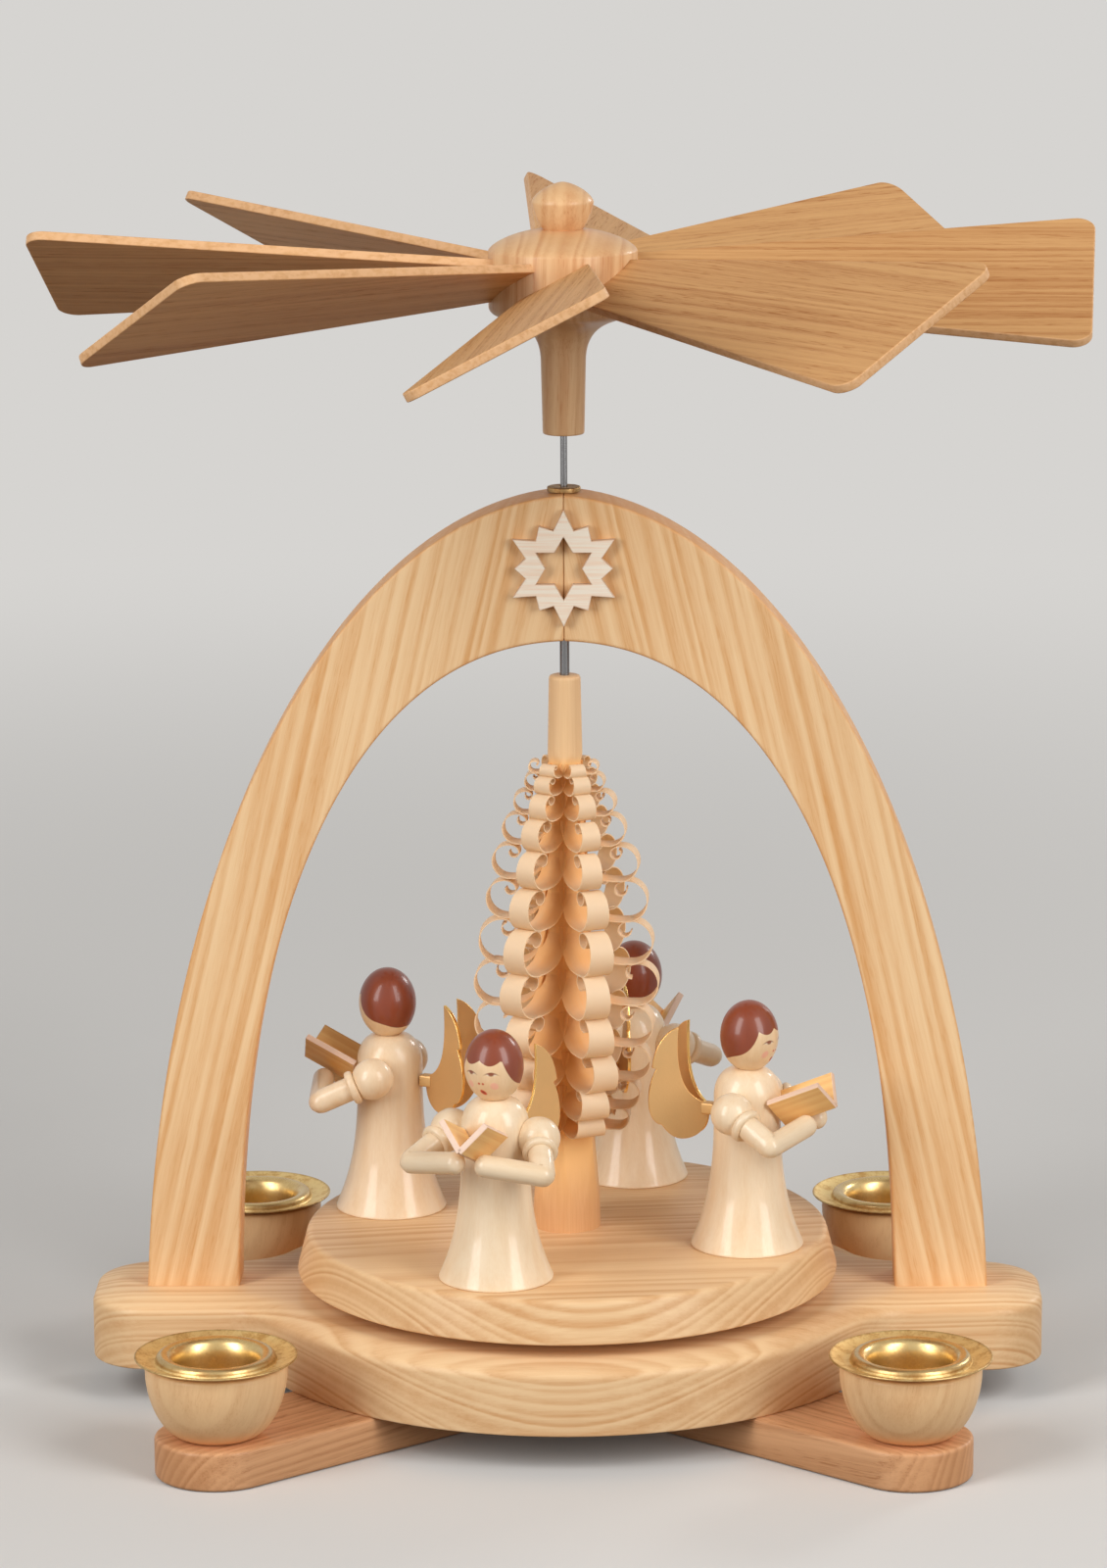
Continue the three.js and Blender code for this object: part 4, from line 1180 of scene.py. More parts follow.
def head_shape(sizes):
    """An egg cut flat at the neck, with its own coordinates in millimetres as the mark "face"."""
    half = sizes.head_height / 2
    start = math.asin(sizes.neck / sizes.head_radius) - QUARTER
    t = np.linspace(start, QUARTER, 72)
    profile = np.stack([sizes.head_radius * np.cos(t), half * np.sin(t)], axis=1)
    profile[-1, 0] = 0
    egg = revolved(np.concatenate([[[0, profile[0, 1]]], profile]), sides=128)
    egg.marks["face"] = egg.points / MM
    lift = sizes.neck_height - profile[0, 1]
    return egg.moved(turn_about("Z", sizes.head_turn), (sizes.head_lead, 0, lift))


def ball_profile(radius, steps=32):
    """Half a circle from the lower to the upper pole."""
    profile = arc((0, 0), radius, -QUARTER, QUARTER, steps)
    profile[[0, -1], 0] = 0
    return profile


def arm_shape(sizes, side):
    """A puffed sleeve, a rounded cuff, and an upper arm mitred to a forearm with a round hand."""
    shoulder = np.array([0, side * (sizes.waist + sizes.sleeve_seat), sizes.shoulder - sizes.sleeve_drop])
    elbow = shoulder + [sizes.elbow_forward, side * sizes.elbow_spread, -sizes.elbow_drop]
    hand = np.array([elbow[0] + sizes.hand_forward, side * sizes.hand_gap, elbow[2] + sizes.hand_rise])
    upper, lower = unit(elbow - shoulder), unit(hand - elbow)
    sleeve = revolved(ball_profile(sizes.sleeve), sides=64).shifted(shoulder)
    half = sizes.cuff_width / 2
    band = [[sizes.stub, -half], [sizes.cuff, -half], [sizes.cuff, half], [sizes.stub, half]]
    inner_ease, outer_ease = 0.1 * MM, 0.48 * sizes.cuff_width
    eases = [inner_ease, outer_ease, outer_ease, inner_ease]
    cuff = revolved(eased(band, eases, steps=8, closed=True), sides=64, ring=True)
    cuff = cuff.moved(pointing(upper), shoulder + upper * sizes.sleeve)
    close = np.linspace(0, QUARTER, 12)[:, None]
    round_end = sizes.forearm * 0.85
    tips = hand + lower * round_end * np.sin(close)
    tip_radii = sizes.forearm - round_end * (1 - np.cos(close[:, 0]))
    bend = eased([shoulder, elbow, hand], sizes.elbow_ease)
    path = np.concatenate([bend[:1], bend[:-1], tips, tips[-1:] + lower * 0.01 * MM])
    radii = np.linspace(sizes.stub, sizes.forearm, len(bend) - 1)
    limb = rod(path, np.concatenate([[0], radii, tip_radii, [0]]))
    return joined(
        sleeve.grained(UP, (1, 0, 0), (0, 40, 30)),
        cuff.grained(upper, np.cross(upper, UP), (20, 40, 25)),
        limb.grained(lower, np.cross(lower, UP), (60, 35, 30)),
    )


def book_shape(sizes):
    """Two boards that meet in a V along the spine, with the far end of the spine raised."""
    page, length = sizes.book_page, sizes.book_length
    outline = np.array([[0, 0], [length, 0], [length, page], [0, page]])
    plate = board(outline, sizes.book_board, sizes.book_ease).grained((1, 0, 0), (0, 1, 0), (0, 50, 20))
    upright = plate.moved(turn_about("X", QUARTER))
    halves = [upright.moved(turn_about("X", side * sizes.book_opening)) for side in (1, -1)]
    place = (sizes.waist + sizes.book_gap, 0, sizes.shoulder - sizes.book_drop)
    return joined(*halves).moved(turn_about("Y", -sizes.book_tilt), place)


def wing_outline(sizes):
    """A wing from its root, u outwards and v up: lowest feather, two notched feathers and a long tip.

    Each stretch is a Bezier curve between the points where the outline breaks.
    """
    span, rise, lobe = sizes.wing_span, sizes.wing_rise, sizes.wing_lobe
    root = (0, 0.05 * rise)
    low_notch = (0.77 * span, -0.5 * lobe)
    low_step = (0.83 * span, -0.47 * lobe)
    high_notch = (0.86 * span, 0.5 * rise)
    high_step = (0.93 * span, 0.52 * rise)
    tip = (0.5 * span, rise)
    stretches = [
        [(0, -0.1 * lobe), (0.02 * span, -0.8 * lobe), (0.24 * span, -lobe), (0.42 * span, -lobe)],
        [(0.42 * span, -lobe), (0.56 * span, -lobe), (0.68 * span, -0.8 * lobe), low_notch],
        [low_step, (1.06 * span, -0.2 * lobe), (1.02 * span, 0.3 * rise), high_notch],
        [high_step, (0.9 * span, 0.74 * rise), (0.76 * span, 0.94 * rise), tip],
        [tip, (0.54 * span, 0.56 * rise), (0.5 * span, 0.16 * rise), root],
    ]
    return np.concatenate([bezier(points, 14)[int(i in (1, 4)) :] for i, points in enumerate(stretches)])


def wings_shape(sizes):
    """Two thin plates spread in a V from a small folded clip on the back."""
    plate = board(wing_outline(sizes), sizes.wing_thickness, sizes.wing_ease)
    upright = plate.moved(turn_about("X", QUARTER))
    half = sizes.wing_clip / 2
    place = (-sizes.waist - sizes.wing_clip_gap - half, 0, sizes.wing_root)
    spread = [math.pi - side * sizes.wing_spread for side in (1, -1)]
    wings = [upright.moved(turn_about("Z", heading), place) for heading in spread]
    square = np.array([[-half, -half], [half, -half], [half, half], [-half, half]])
    clip_ease, clip_shine = 0.5 * MM, 0.3
    clip = board(square, sizes.wing_clip, clip_ease)
    # The clip's edges get less of the painted highlight
    clip.marks["edge"] = clip_shine * clip.marks["edge"]
    return joined(*wings, clip.shifted(place))


# Materials

# Tints and paints in linear light
END_GRAIN_TINT = (0.84, 0.74, 0.62)
GLUE_TINT = (0.48, 0.34, 0.22)
SCORCH_TINT = (0.62, 0.46, 0.34)
SKIN_TINT = (1.0, 0.91, 0.8)
EYE_WHITE = (0.92, 0.86, 0.76)
OPEN_MOUTH = (0.12, 0.02, 0.015)
DARK_HAIR = (0.16, 0.04, 0.026)
DULL_GILT = (0.55, 0.36, 0.16)
STEEL_BLOOM = (0.16, 0.15, 0.14)


def both_ways(operation):
    """The methods of an operator and of its reflected form, which add a Math node."""
    return (
        lambda wire, value: wire.math(operation, wire, value),
        lambda wire, value: wire.math(operation, value, wire),
    )


class Wire:
    """An output socket in a node tree. Arithmetic on wires adds Math nodes."""

    def __init__(self, nodes, socket):
        self.nodes = nodes
        self.socket = socket

    def math(self, operation, *values):
        """A Math node with this operation on the given values."""
        return self.nodes.add("ShaderNodeMath", {"operation": operation}, dict(enumerate(values)))

    def other(self, output):
        """Another output of the same node."""
        return Wire(self.nodes, self.socket.node.outputs[output])

    __add__, __radd__ = both_ways("ADD")
    __sub__, __rsub__ = both_ways("SUBTRACT")
    __mul__, __rmul__ = both_ways("MULTIPLY")
    __truediv__, __rtruediv__ = both_ways("DIVIDE")
    __pow__, __rpow__ = both_ways("POWER")


class Nodes:
    """A node tree under construction."""

    def __init__(self, tree):
        self.tree = tree
        tree.nodes.clear()

    def add(self, kind, settings=None, sockets=None, output=0):
        """Any node: its type, its settings, which are set first, and the values or links of its sockets."""
        node = self.tree.nodes.new(kind)
        for key, value in (settings or {}).items():
            if key == "stops":
                set_stops(node.color_ramp, value)
            else:
                setattr(node, key, value)
        for key, value in (sockets or {}).items():
            socket = node.inputs[key]
            if isinstance(value, Wire):
                self.tree.links.new(value.socket, socket)
            elif socket.type == "RGBA":
                socket.default_value = (*value[:3], 1)
            else:
                socket.default_value = value
        return Wire(self, node.outputs[output]) if node.outputs else None

    def mark(self, name):
        """A mark of the piece: a vector."""
        return self.add("ShaderNodeAttribute", {"attribute_name": name}, output=1)

    def level(self, name):
        """A mark of the piece: a number."""
        return self.add("ShaderNodeAttribute", {"attribute_name": name}, output=2)

    def place(self):
        """Object coordinates in millimetres."""
        spot = self.add("ShaderNodeTexCoord", output=3)
        return self.stretch(spot, (1 / MM, 1 / MM, 1 / MM))

    def stretch(self, vector, factors):
        """A vector with each coordinate multiplied by a factor."""
        return self.add("ShaderNodeVectorMath", {"operation": "MULTIPLY"}, {0: vector, 1: factors})

    def split(self, vector):
        """A vector's three coordinates."""
        first = self.add("ShaderNodeSeparateXYZ", None, {0: vector})
        return first, first.other(1), first.other(2)

    def noise(self, vector, factors, detail=2.0, roughness=0.5):
        """Noise with a number of swings per millimetre along each coordinate."""
        spot = self.stretch(vector, factors)
        sockets = {"Vector": spot, "Scale": 1.0, "Detail": detail, "Roughness": roughness}
        return self.add("ShaderNodeTexNoise", None, sockets)

    def step(self, value, start, end):
        """A soft step from 0 at the start to 1 at the end."""
        return self.add(
            "ShaderNodeMapRange",
            {"interpolation_type": "SMOOTHSTEP"},
            {"Value": value, "From Min": start, "From Max": end},
        )

    def tinted(self, surface, tint):
        """A colour multiplied by a tint in linear light."""
        return self.mix(1.0, surface, tint, blend="MULTIPLY")

    def mix(self, factor, first, second, blend="MIX"):
        """A mix of two colours."""
        return self.add(
            "ShaderNodeMix",
            {"data_type": "RGBA", "blend_type": blend},
            {0: factor, 6: first, 7: second},
            output=2,
        )

    def bump(self, height, distance):
        """A normal from a height between 0 and 1 that stands for a distance in millimetres."""
        sockets = {"Height": height, "Distance": distance * MM, "Strength": 1.0}
        return self.add("ShaderNodeBump", None, sockets)

    def shaded(self, through=None, **sockets):
        """Ends the tree with a surface shader; underscores in socket names stand for blanks.

        through is a factor and a colour for light that shines through a thin piece.
        """
        values = {key.replace("_", " "): value for key, value in sockets.items()}
        surface = self.add("ShaderNodeBsdfPrincipled", None, values)
        if through:
            lit = self.add("ShaderNodeBsdfTranslucent", None, {"Color": through[1]})
            surface = self.add("ShaderNodeMixShader", None, {0: through[0], 1: surface, 2: lit})
        self.add("ShaderNodeOutputMaterial", None, {"Surface": surface})


def set_stops(ramp, stops):
    """Gives a colour ramp its stops, pairs of place and grey level."""
    while len(ramp.elements) < len(stops):
        ramp.elements.new(1)
    for element, (place, level) in zip(ramp.elements, stops):
        element.position = place
        element.color = (level, level, level, 1)


def new_nodes(name):
    """A new material's empty node tree."""
    material = bpy.data.materials.new(name)
    material.use_nodes = True
    return Nodes(material.node_tree)


def palette():
    """The colours of the finishes."""
    return bpy.context.scene.pyramid_colours


def year_rings(nodes, grain, spacing, drift):
    """Early wood of the year rings, 0 to 1, stronger in some years than in others.

    Rings are circles round the log's middle, shaken by slow noise and of uneven width; each starts quickly
    and fades.
    """
    _, across, through = nodes.split(grain)
    sway = nodes.noise(grain, (0.006, 0.016, 0.016)) - 0.5
    radius = (across * across + through * through) ** 0.5 + sway * drift
    width = {"W": radius * (0.35 / spacing), "Scale": 1.0, "Detail": 1.0}
    year = radius / spacing + nodes.add("ShaderNodeTexNoise", {"noise_dimensions": "1D"}, width) * 2.6
    season = year.math("FRACT", year)
    stops = [(0.0, 0.2), (0.18, 0.95), (0.4, 0.8), (0.66, 0.25), (0.88, 0.0), (1.0, 0.2)]
    early = nodes.add("ShaderNodeValToRGB", {"stops": stops}, {0: season})
    number = year.math("FLOOR", year)
    harvest = nodes.add("ShaderNodeTexWhiteNoise", {"noise_dimensions": "1D"}, {"W": number})
    return early * (harvest * 0.6 + 0.4)


def wood(nodes, pale, line, spacing, drift, bands, pores, mottle=0.8):
    """Colour, relief and pores of ring-porous wood: pale late wood, darker early wood and fine fibre."""
    grain = nodes.mark("grain")
    early = year_rings(nodes, grain, spacing, drift)
    streaks = nodes.noise(grain, (0.007, 0.5, 0.5), detail=2.0)
    fibre = nodes.noise(grain, (0.02, 1.8, 1.8), detail=3.0, roughness=0.7)
    cloud = nodes.noise(grain, (0.004, 0.03, 0.03), detail=1.0)
    dashes = nodes.step(nodes.noise(grain, (0.16, 3.2, 3.2), roughness=0.6), 0.53, 0.68)
    end = nodes.level("end_grain")
    pore = dashes * (early * 0.8 + 0.2) * (1 - end) * pores
    figure = (streaks + fibre - 1) * (mottle - end * 0.8 * mottle)
    tone = early * bands + figure + (cloud - 0.5) * 0.7 + pore
    surface = nodes.mix(nodes.step(tone, -0.25, 0.95), pale, line)
    surface = nodes.mix(end * 0.5, surface, nodes.tinted(surface, END_GRAIN_TINT))
    return surface, fibre * 0.5 - pore * 0.9 - early * 0.2, pore


def ash(name, tones, spacing, drift=4.0, bands=0.6, pores=0.3, mottle=0.8, gloss=0.2, coat=0.1):
    """Ash under a satin clear coat, with a glue line at a seam.

    The tones are its pale wood, its year rings and, where they differ, the colour of its sides: paler
    sawn edges on the blades, and a painted shade, darker and warmer, on the arch's sides.
    """
    nodes = new_nodes(name)
    pale, line, *edge = tones
    surface, relief, pore = wood(nodes, pale, line, spacing, drift, bands, pores, mottle)
    if edge:
        # Patchy colour on the sides: real sawn edges on the blades, painted shade on the arch
        sawn_and_shaded = nodes.noise(nodes.mark("grain"), (0.5, 0.9, 0.9), detail=3.0, roughness=0.6)
        cover = nodes.level("edge") * (nodes.step(sawn_and_shaded, 0.3, 0.6) * 0.5 + 0.35)
        surface = nodes.mix(cover, surface, edge[0])
    nodes.shaded(
        Base_Color=nodes.mix(nodes.level("seam"), surface, nodes.tinted(surface, GLUE_TINT)),
        Roughness=0.44 + pore * 0.4,
        Normal=nodes.bump(relief, 0.05),
        Specular_IOR_Level=gloss,
        Coat_Weight=coat,
        Coat_Roughness=0.2,
    )


def arch_ash(name):
    """The arch's pale ash with broad year rings and a painted shade, darker and warmer, on its sides."""
    tones = palette().arch_pale, palette().arch_line, palette().arch_side_shade
    ash(name, tones, spacing=3.6, mottle=0.6, gloss=0.12, coat=0.05)


def plate_ash(name):
    """The slightly pinker ash of base plate and turntable, with fine year rings."""
    tones = palette().base_pale, palette().base_line
    ash(name, tones, spacing=1.7, drift=5.0, bands=0.62, pores=0.15, mottle=0.5, gloss=0.12, coat=0.12)


def bar_ash(name):
    """The redder ash of the crossed bars, with open pores."""
    tones = palette().bar_pale, palette().bar_line
    ash(name, tones, spacing=2.0, bands=0.45, pores=0.55)


def blade_ash(name):
    """The honey-coloured ash of the blades, with quiet bands and paler sawn edges."""
    tones = palette().blade_pale, palette().blade_line, palette().blade_edge
    ash(name, tones, spacing=2.6, bands=0.35, pores=0.6, gloss=0.07, coat=0.0)


def hub_ash(name):
    """The hub's paler ash, polished on the lathe."""
    tones = palette().hub_pale, palette().hub_line
    ash(name, tones, spacing=2.8, bands=0.55, pores=0.5, coat=0.25)


def cup_ash(name):
    """The candle cups' quiet wood."""
    tones = palette().cup_pale, palette().cup_line
    ash(name, tones, spacing=3.4, drift=6.0, bands=0.3, mottle=0.55)


def star_board(name):
    """The star's raw thin board with fine grain and darker sawn edges."""
    nodes = new_nodes(name)
    grain = nodes.mark("grain")
    edge = nodes.level("edge")
    streaks = nodes.noise(grain, (0.06, 1.6, 1.6), detail=3.0, roughness=0.6)
    fibre = nodes.noise(grain, (0.3, 3.0, 3.0), detail=2.0)
    face = nodes.mix(nodes.step(streaks, 0.38, 0.66), palette().star_pale, palette().star_line)
    nodes.shaded(
        Base_Color=nodes.mix(edge * 0.75, face, nodes.tinted(face, SCORCH_TINT)),
        Roughness=0.62 + fibre * 0.15,
        Normal=nodes.bump(fibre * 0.6 + streaks * 0.4, 0.02),
    )


def book_boards(name):
    """The songbooks' tan boards with paler pinkish edges."""
    nodes = new_nodes(name)
    surface, relief, pore = wood(nodes, palette().book_pale, palette().book_line, 2.0, 3.0, 0.4, 0.4)
    edge = nodes.step(nodes.level("edge"), 0.2, 0.9)
    nodes.shaded(
        Base_Color=nodes.mix(edge * 0.8, surface, palette().book_edge),
        Roughness=0.4 + pore * 0.4,
        Normal=nodes.bump(relief, 0.04),
    )


def maple(nodes):
    """Colour and relief of the figures' pale close-grained wood."""
    grain = nodes.mark("grain")
    streaks = nodes.noise(grain, (0.02, 0.3, 0.3), detail=3.0, roughness=0.55)
    flecks = nodes.noise(grain, (0.4, 2.6, 2.6), detail=2.0)
    tone = nodes.step(streaks * 0.75 + flecks * 0.25, 0.3, 0.8)
    return nodes.mix(tone, palette().maple_pale, palette().maple_line), streaks * 0.6 + flecks * 0.4


def figure_maple(name):
    """The angels' glossy clear-coated maple."""
    nodes = new_nodes(name)
    surface, relief = maple(nodes)
    nodes.shaded(
        Base_Color=surface,
        Roughness=0.36 + relief * 0.1,
        Normal=nodes.bump(relief, 0.015),
        Specular_IOR_Level=0.3,
        Coat_Weight=0.5,
        Coat_Roughness=0.1,
    )


def hair_mask(nodes, bearing, v):
    """1 on the hair, from the bearing round the head and the height v in millimetres.

    Over the forehead the hair ends in lobes, the absolute value of a sine. Beside them it falls with an
    exponential to the nape.
    """
    off = bearing.math("ABSOLUTE", bearing)
    lobe = math.radians(44)
    scallop = bearing.math("SINE", (bearing + math.radians(3)) * (math.pi / lobe))
    fringe = 2.4 - scallop.math("ABSOLUTE", scallop)
    fall = off.math("EXPONENT", (lobe - off) / math.radians(19))
    temple = fall * 6.1 - 3.7 - nodes.step(off, QUARTER, math.radians(150)) * 1.05
    beside = nodes.step(off, lobe - 0.01, lobe + 0.01)
    return nodes.step(v - fringe - (temple - fringe) * beside, -0.07, 0.07)


def painted_face(nodes, skin, u, v):
    """The skin with its cheeks, eyes, nose dots and mouth, drawn in millimetres.

    u runs round the head from the middle of the face, and v up from the egg's middle.
    """

    def disc(across, up, half_width, half_height, soft=0.25):
        """A soft-edged oval on the face."""
        distance = ((across / half_width) ** 2 + (up / half_height) ** 2) ** 0.5
        return 1 - nodes.step(distance, 1 - soft, 1 + soft)

    away = u.math("ABSOLUTE", u)
    eye_u, eye_v = away - 2.45, v + 0.35
    outer_white = disc(eye_u - 0.7, eye_v + 0.1, 0.45, 0.25, 0.5)
    inner_white = disc(eye_u + 0.75, eye_v + 0.1, 0.4, 0.25, 0.5)
    lid = disc(eye_u, eye_v - 0.22 + eye_u * eye_u * 0.16, 1.35, 0.2, 0.6)
    slant = v + 4.6 + u * 0.35
    strokes = [
        (disc(away - 2.9, v + 3.0, 0.85, 0.8), 0.8, palette().cheek),
        (outer_white + inner_white, 0.4, EYE_WHITE),
        (lid, 0.85, palette().eye),
        (disc(eye_u + 0.05, eye_v, 0.6, 0.4, 0.35), 0.9, palette().eye),
        (disc(away - 0.46, v + 2.6, 0.27, 0.25, 0.4), 0.85, palette().lips),
        (disc(u - 0.15, slant, 0.7, 0.55), 0.95, palette().lips),
        (disc(u - 0.15, slant, 0.3, 0.18, 0.5), 0.8, OPEN_MOUTH),
    ]
    for mask, strength, paint in strokes:
        skin = nodes.mix(mask * strength, skin, paint)
    return skin


def painted_head(name):
    """A glossy maple head with painted hair and face."""
    nodes = new_nodes(name)
    pale, relief = maple(nodes)
    spot = nodes.mark("face")
    ahead, left, v = nodes.split(spot)
    bearing = left.math("ARCTAN2", left, ahead)
    u = bearing * (ahead * ahead + left * left) ** 0.5
    face = painted_face(nodes, nodes.tinted(pale, SKIN_TINT), u, v)
    hair = hair_mask(nodes, bearing, v)
    strokes = nodes.noise(spot, (0.5, 0.5, 0.12), detail=2.0)
    locks = nodes.mix(strokes * 0.5, palette().hair, DARK_HAIR)
    nodes.shaded(
        Base_Color=nodes.mix(hair, face, locks),
        Roughness=0.34 + relief * 0.08,
        Normal=nodes.bump(hair * 0.8 + relief * 0.2, 0.03),
        Specular_IOR_Level=0.3,
        Coat_Weight=0.45,
        Coat_Roughness=0.12,
    )


def shavings(name):
    """Raw shavings that let light through: fine lines along each curl, cream outside and a painted shade,
    deeper orange, near the stick.

    The bare stick has painted shade, darker towards its foot.
    """
    nodes = new_nodes(name)
    grain = nodes.mark("grain")
    reach = nodes.level("reach")
    lines = nodes.noise(grain, (0.03, 2.4, 2.4), detail=3.0, roughness=0.6)
    cloud = nodes.noise(grain, (0.08, 0.3, 0.3), detail=1.0)
    # Painted shade: the lower the reach mark, the deeper orange the shavings
    depth = nodes.step(reach + (cloud - 0.5) * 0.3 + (lines - 0.5) * 0.35, 0.0, 0.7)
    curl = nodes.mix(depth, palette().shaving_shade, palette().shaving_pale)
    _, _, height = nodes.split(nodes.place())
    # Painted shade: the bare stick darkens from 140 mm down to 60 mm, where the angels shade its foot
    foot_height, top_height = 60.0, 140.0
    foot_shade = 1 - nodes.step(height, foot_height, top_height)
    stick = nodes.mix(lines * 0.6 + foot_shade * 0.7 - 0.15, palette().stick_pale, palette().stick_line)
    nodes.shaded(
        through=(nodes.level("thin") * 0.3, palette().shaving_through),
        Base_Color=nodes.mix(nodes.level("bare"), curl, stick),
        Roughness=0.42 + lines * 0.15,
        Normal=nodes.bump(lines, 0.03),
        Specular_IOR_Level=0.3,
    )


def pressed_brass(name):
    """Brass: a dull, lightly mottled tray, a bright bead and a darkened bush.

    The sockets' lip, bead and mouth carry painted shade and dark reflection.
    """
    nodes = new_nodes(name)
    spot = nodes.place()
    bright = nodes.level("bright")
    mottle = nodes.noise(spot, (0.35, 0.35, 0.35), detail=4.0, roughness=0.6)
    specks = nodes.noise(spot, (2.2, 2.2, 2.2), detail=2.0)
    tarnish = nodes.step(mottle * 0.75 + specks * 0.25, 0.42, 0.68) * (1 - bright * 0.7)
    surface = nodes.mix(tarnish * 0.75, palette().brass, palette().brass_dull)
    nodes.shaded(
        # Painted shade and dark reflection on the sockets' lip, bead and mouth; darkened brass on the bush
        Base_Color=nodes.mix(nodes.level("aged") * (0.65 + tarnish * 0.3), surface, palette().brass_age_and_shade),
        Metallic=1.0,
        Roughness=0.46 - bright * 0.22 + tarnish * 0.12,
        Normal=nodes.bump(specks * 0.4 + mottle * 0.6, 0.03),
    )


def gilding(name):
    """Satin gilding on the wings' faces, and smoother, fully metallic cut edges with a painted highlight of
    paler gold.
    """
    nodes = new_nodes(name)
    spot = nodes.place()
    # The edges are smoother and fully metallic, and paler gold as a painted highlight
    edge = nodes.step(nodes.level("edge"), 0.15, 0.8)
    grains = nodes.noise(spot, (1.8, 1.8, 1.8), detail=3.0, roughness=0.65)
    cloud = nodes.noise(spot, (0.2, 0.2, 0.2), detail=2.0)
    tone = nodes.mix(cloud * 0.4, palette().gilt, DULL_GILT)
    nodes.shaded(
        Base_Color=nodes.mix(edge, tone, palette().gilt_edge_highlight),
        Metallic=0.6 + edge * 0.4,
        Roughness=0.46 - edge * 0.3 + grains * 0.1,
        Normal=nodes.bump(grains, 0.03),
    )


def drawn_steel(name):
    """Drawn steel wire with fine lines along it and a faint bloom."""
    nodes = new_nodes(name)
    spot = nodes.place()
    lines = nodes.noise(spot, (6.0, 6.0, 0.05), detail=2.0)
    bloom = nodes.noise(spot, (0.2, 0.2, 0.06), detail=2.0)
    nodes.shaded(
        Base_Color=nodes.mix(bloom * 0.5, palette().steel, STEEL_BLOOM),
        Metallic=1.0,
        Roughness=0.18 + lines * 0.12,
        Normal=nodes.bump(lines, 0.02),
    )


# The function that makes each finish, and the name of its slot
FINISHES = {
    "arch_ash": (arch_ash, "ash_wood"),
    "plate_ash": (plate_ash, "ash_wood"),
    "bar_ash": (bar_ash, "ash_wood"),
    "blade_ash": (blade_ash, "ash_wood"),
    "hub_ash": (hub_ash, "ash_wood"),
    "cup_ash": (cup_ash, "ash_wood"),
    "star_board": (star_board, "star_wood"),
    "book_boards": (book_boards, "book_wood"),
    "figure_maple": (figure_maple, "maple_wood"),
    "painted_head": (painted_head, "maple_wood"),
    "shavings": (shavings, "shaving_wood"),
    "pressed_brass": (pressed_brass, "socket_brass"),
    "gilding": (gilding, "wing_gilt"),
    "drawn_steel": (drawn_steel, "spindle_steel"),
}


def finish(name):
    """The material of that name, made on first use, and its slot."""
    make, slot = FINISHES[name]
    if name not in bpy.data.materials:
        make(name)
    return bpy.data.materials[name], slot


# Operators


class CrossBars(bpy.types.Operator):
    """Saw the two crossed bars, halved into each other."""

    bl_idname = "pyramid.cross_bars"
    bl_label = "Cross Bars"

    def execute(self, context):
        sizes = context.scene.pyramid_stand
        for node, heading, offset in (
            ("cross_bar_lower", sizes.bar_angle, (300, 46, 18)),
            ("cross_bar_upper", -sizes.bar_angle, (900, -52, 22)),
        ):
            bar = bar_shape(sizes, node == "cross_bar_lower").grained((1, 0, 0.06), (0, 1, 0), offset)
            name = node.removeprefix("cross_")
            add_piece(name, bar.moved(turn_about("Z", heading)), "bar_ash", "stand", node)
        return {"FINISHED"}


class CandleCups(bpy.types.Operator):
    """Turn the four candle cups."""

    bl_idname = "pyramid.candle_cups"
    bl_label = "Candle Cups"

    def execute(self, context):
        sizes = context.scene.pyramid_stand
        for number in range(1, sizes.cup_count + 1):
            node = f"candle_cup_{number}"
            offset = (200 * number, 16, 30 + 9 * number)
            cup = cup_shape(sizes).grained((0.15, 0.1, 1), (1, 0, -0.15), offset)
            add_piece(f"cup_{number}", cup.shifted(over(node, sizes.bar_top)), "cup_ash", "stand", node)
        return {"FINISHED"}


class CandleSockets(bpy.types.Operator):
    """Press the four brass sockets with their drip trays."""

    bl_idname = "pyramid.candle_sockets"
    bl_label = "Candle Sockets"

    def execute(self, context):
        sizes = context.scene.pyramid_stand
        for number in range(1, sizes.cup_count + 1):
            node = f"candle_socket_{number}"
            socket = socket_shape(sizes).shifted(over(node, sizes.bar_top))
            add_piece(f"socket_{number}", socket, "pressed_brass", "stand", node)
        return {"FINISHED"}


class BasePlate(bpy.types.Operator):
    """Saw the base plate with its two ears and bevelled top."""

    bl_idname = "pyramid.base_plate"
    bl_label = "Base Plate"

    def execute(self, context):
        plate = plate_shape(context.scene.pyramid_stand).grained((1, 0.03, 0.02), (0, 1, 0), (0, 33, 16))
        add_piece("plate", plate, "plate_ash", "stand", "base_plate")
        return {"FINISHED"}


class Arch(bpy.types.Operator):
    """Saw the two mirrored halves of the arch and the dowels under their feet."""

    bl_idname = "pyramid.arch"
    bl_label = "Arch"

    def execute(self, context):
        sizes = context.scene.pyramid_stand
        mirror = np.diag([-1.0, 1.0, 1.0])
        right = arch_shape(sizes)
        left = Shape(right.points @ mirror, [face[:, ::-1] for face in right.faces], right.marks)
        run, rise = math.cos(sizes.arch_grain), math.sin(sizes.arch_grain)
        right.grained((-run, 0.03, rise), (rise, 0, run), (0, 120, 24))
        left.grained((run, 0.03, rise), (-rise, 0, run), (400, 117, -30))
        for side, half in (("left", left), ("right", right)):
            add_piece(f"arch_half_{side}", half, "arch_ash", "stand", f"arch_{side}")
            node = f"arch_dowel_{side}"
            radius = (high(node, 1) - low(node, 1)) / 2 * MM
            dowel = dowel_shape(low(node) * MM, high(node) * MM, radius).grained(UP, (1, 0, 0), (0, 30, 30))
            add_piece(f"dowel_{side}", dowel.shifted(over(node)), "arch_ash", "stand", node)
        return {"FINISHED"}


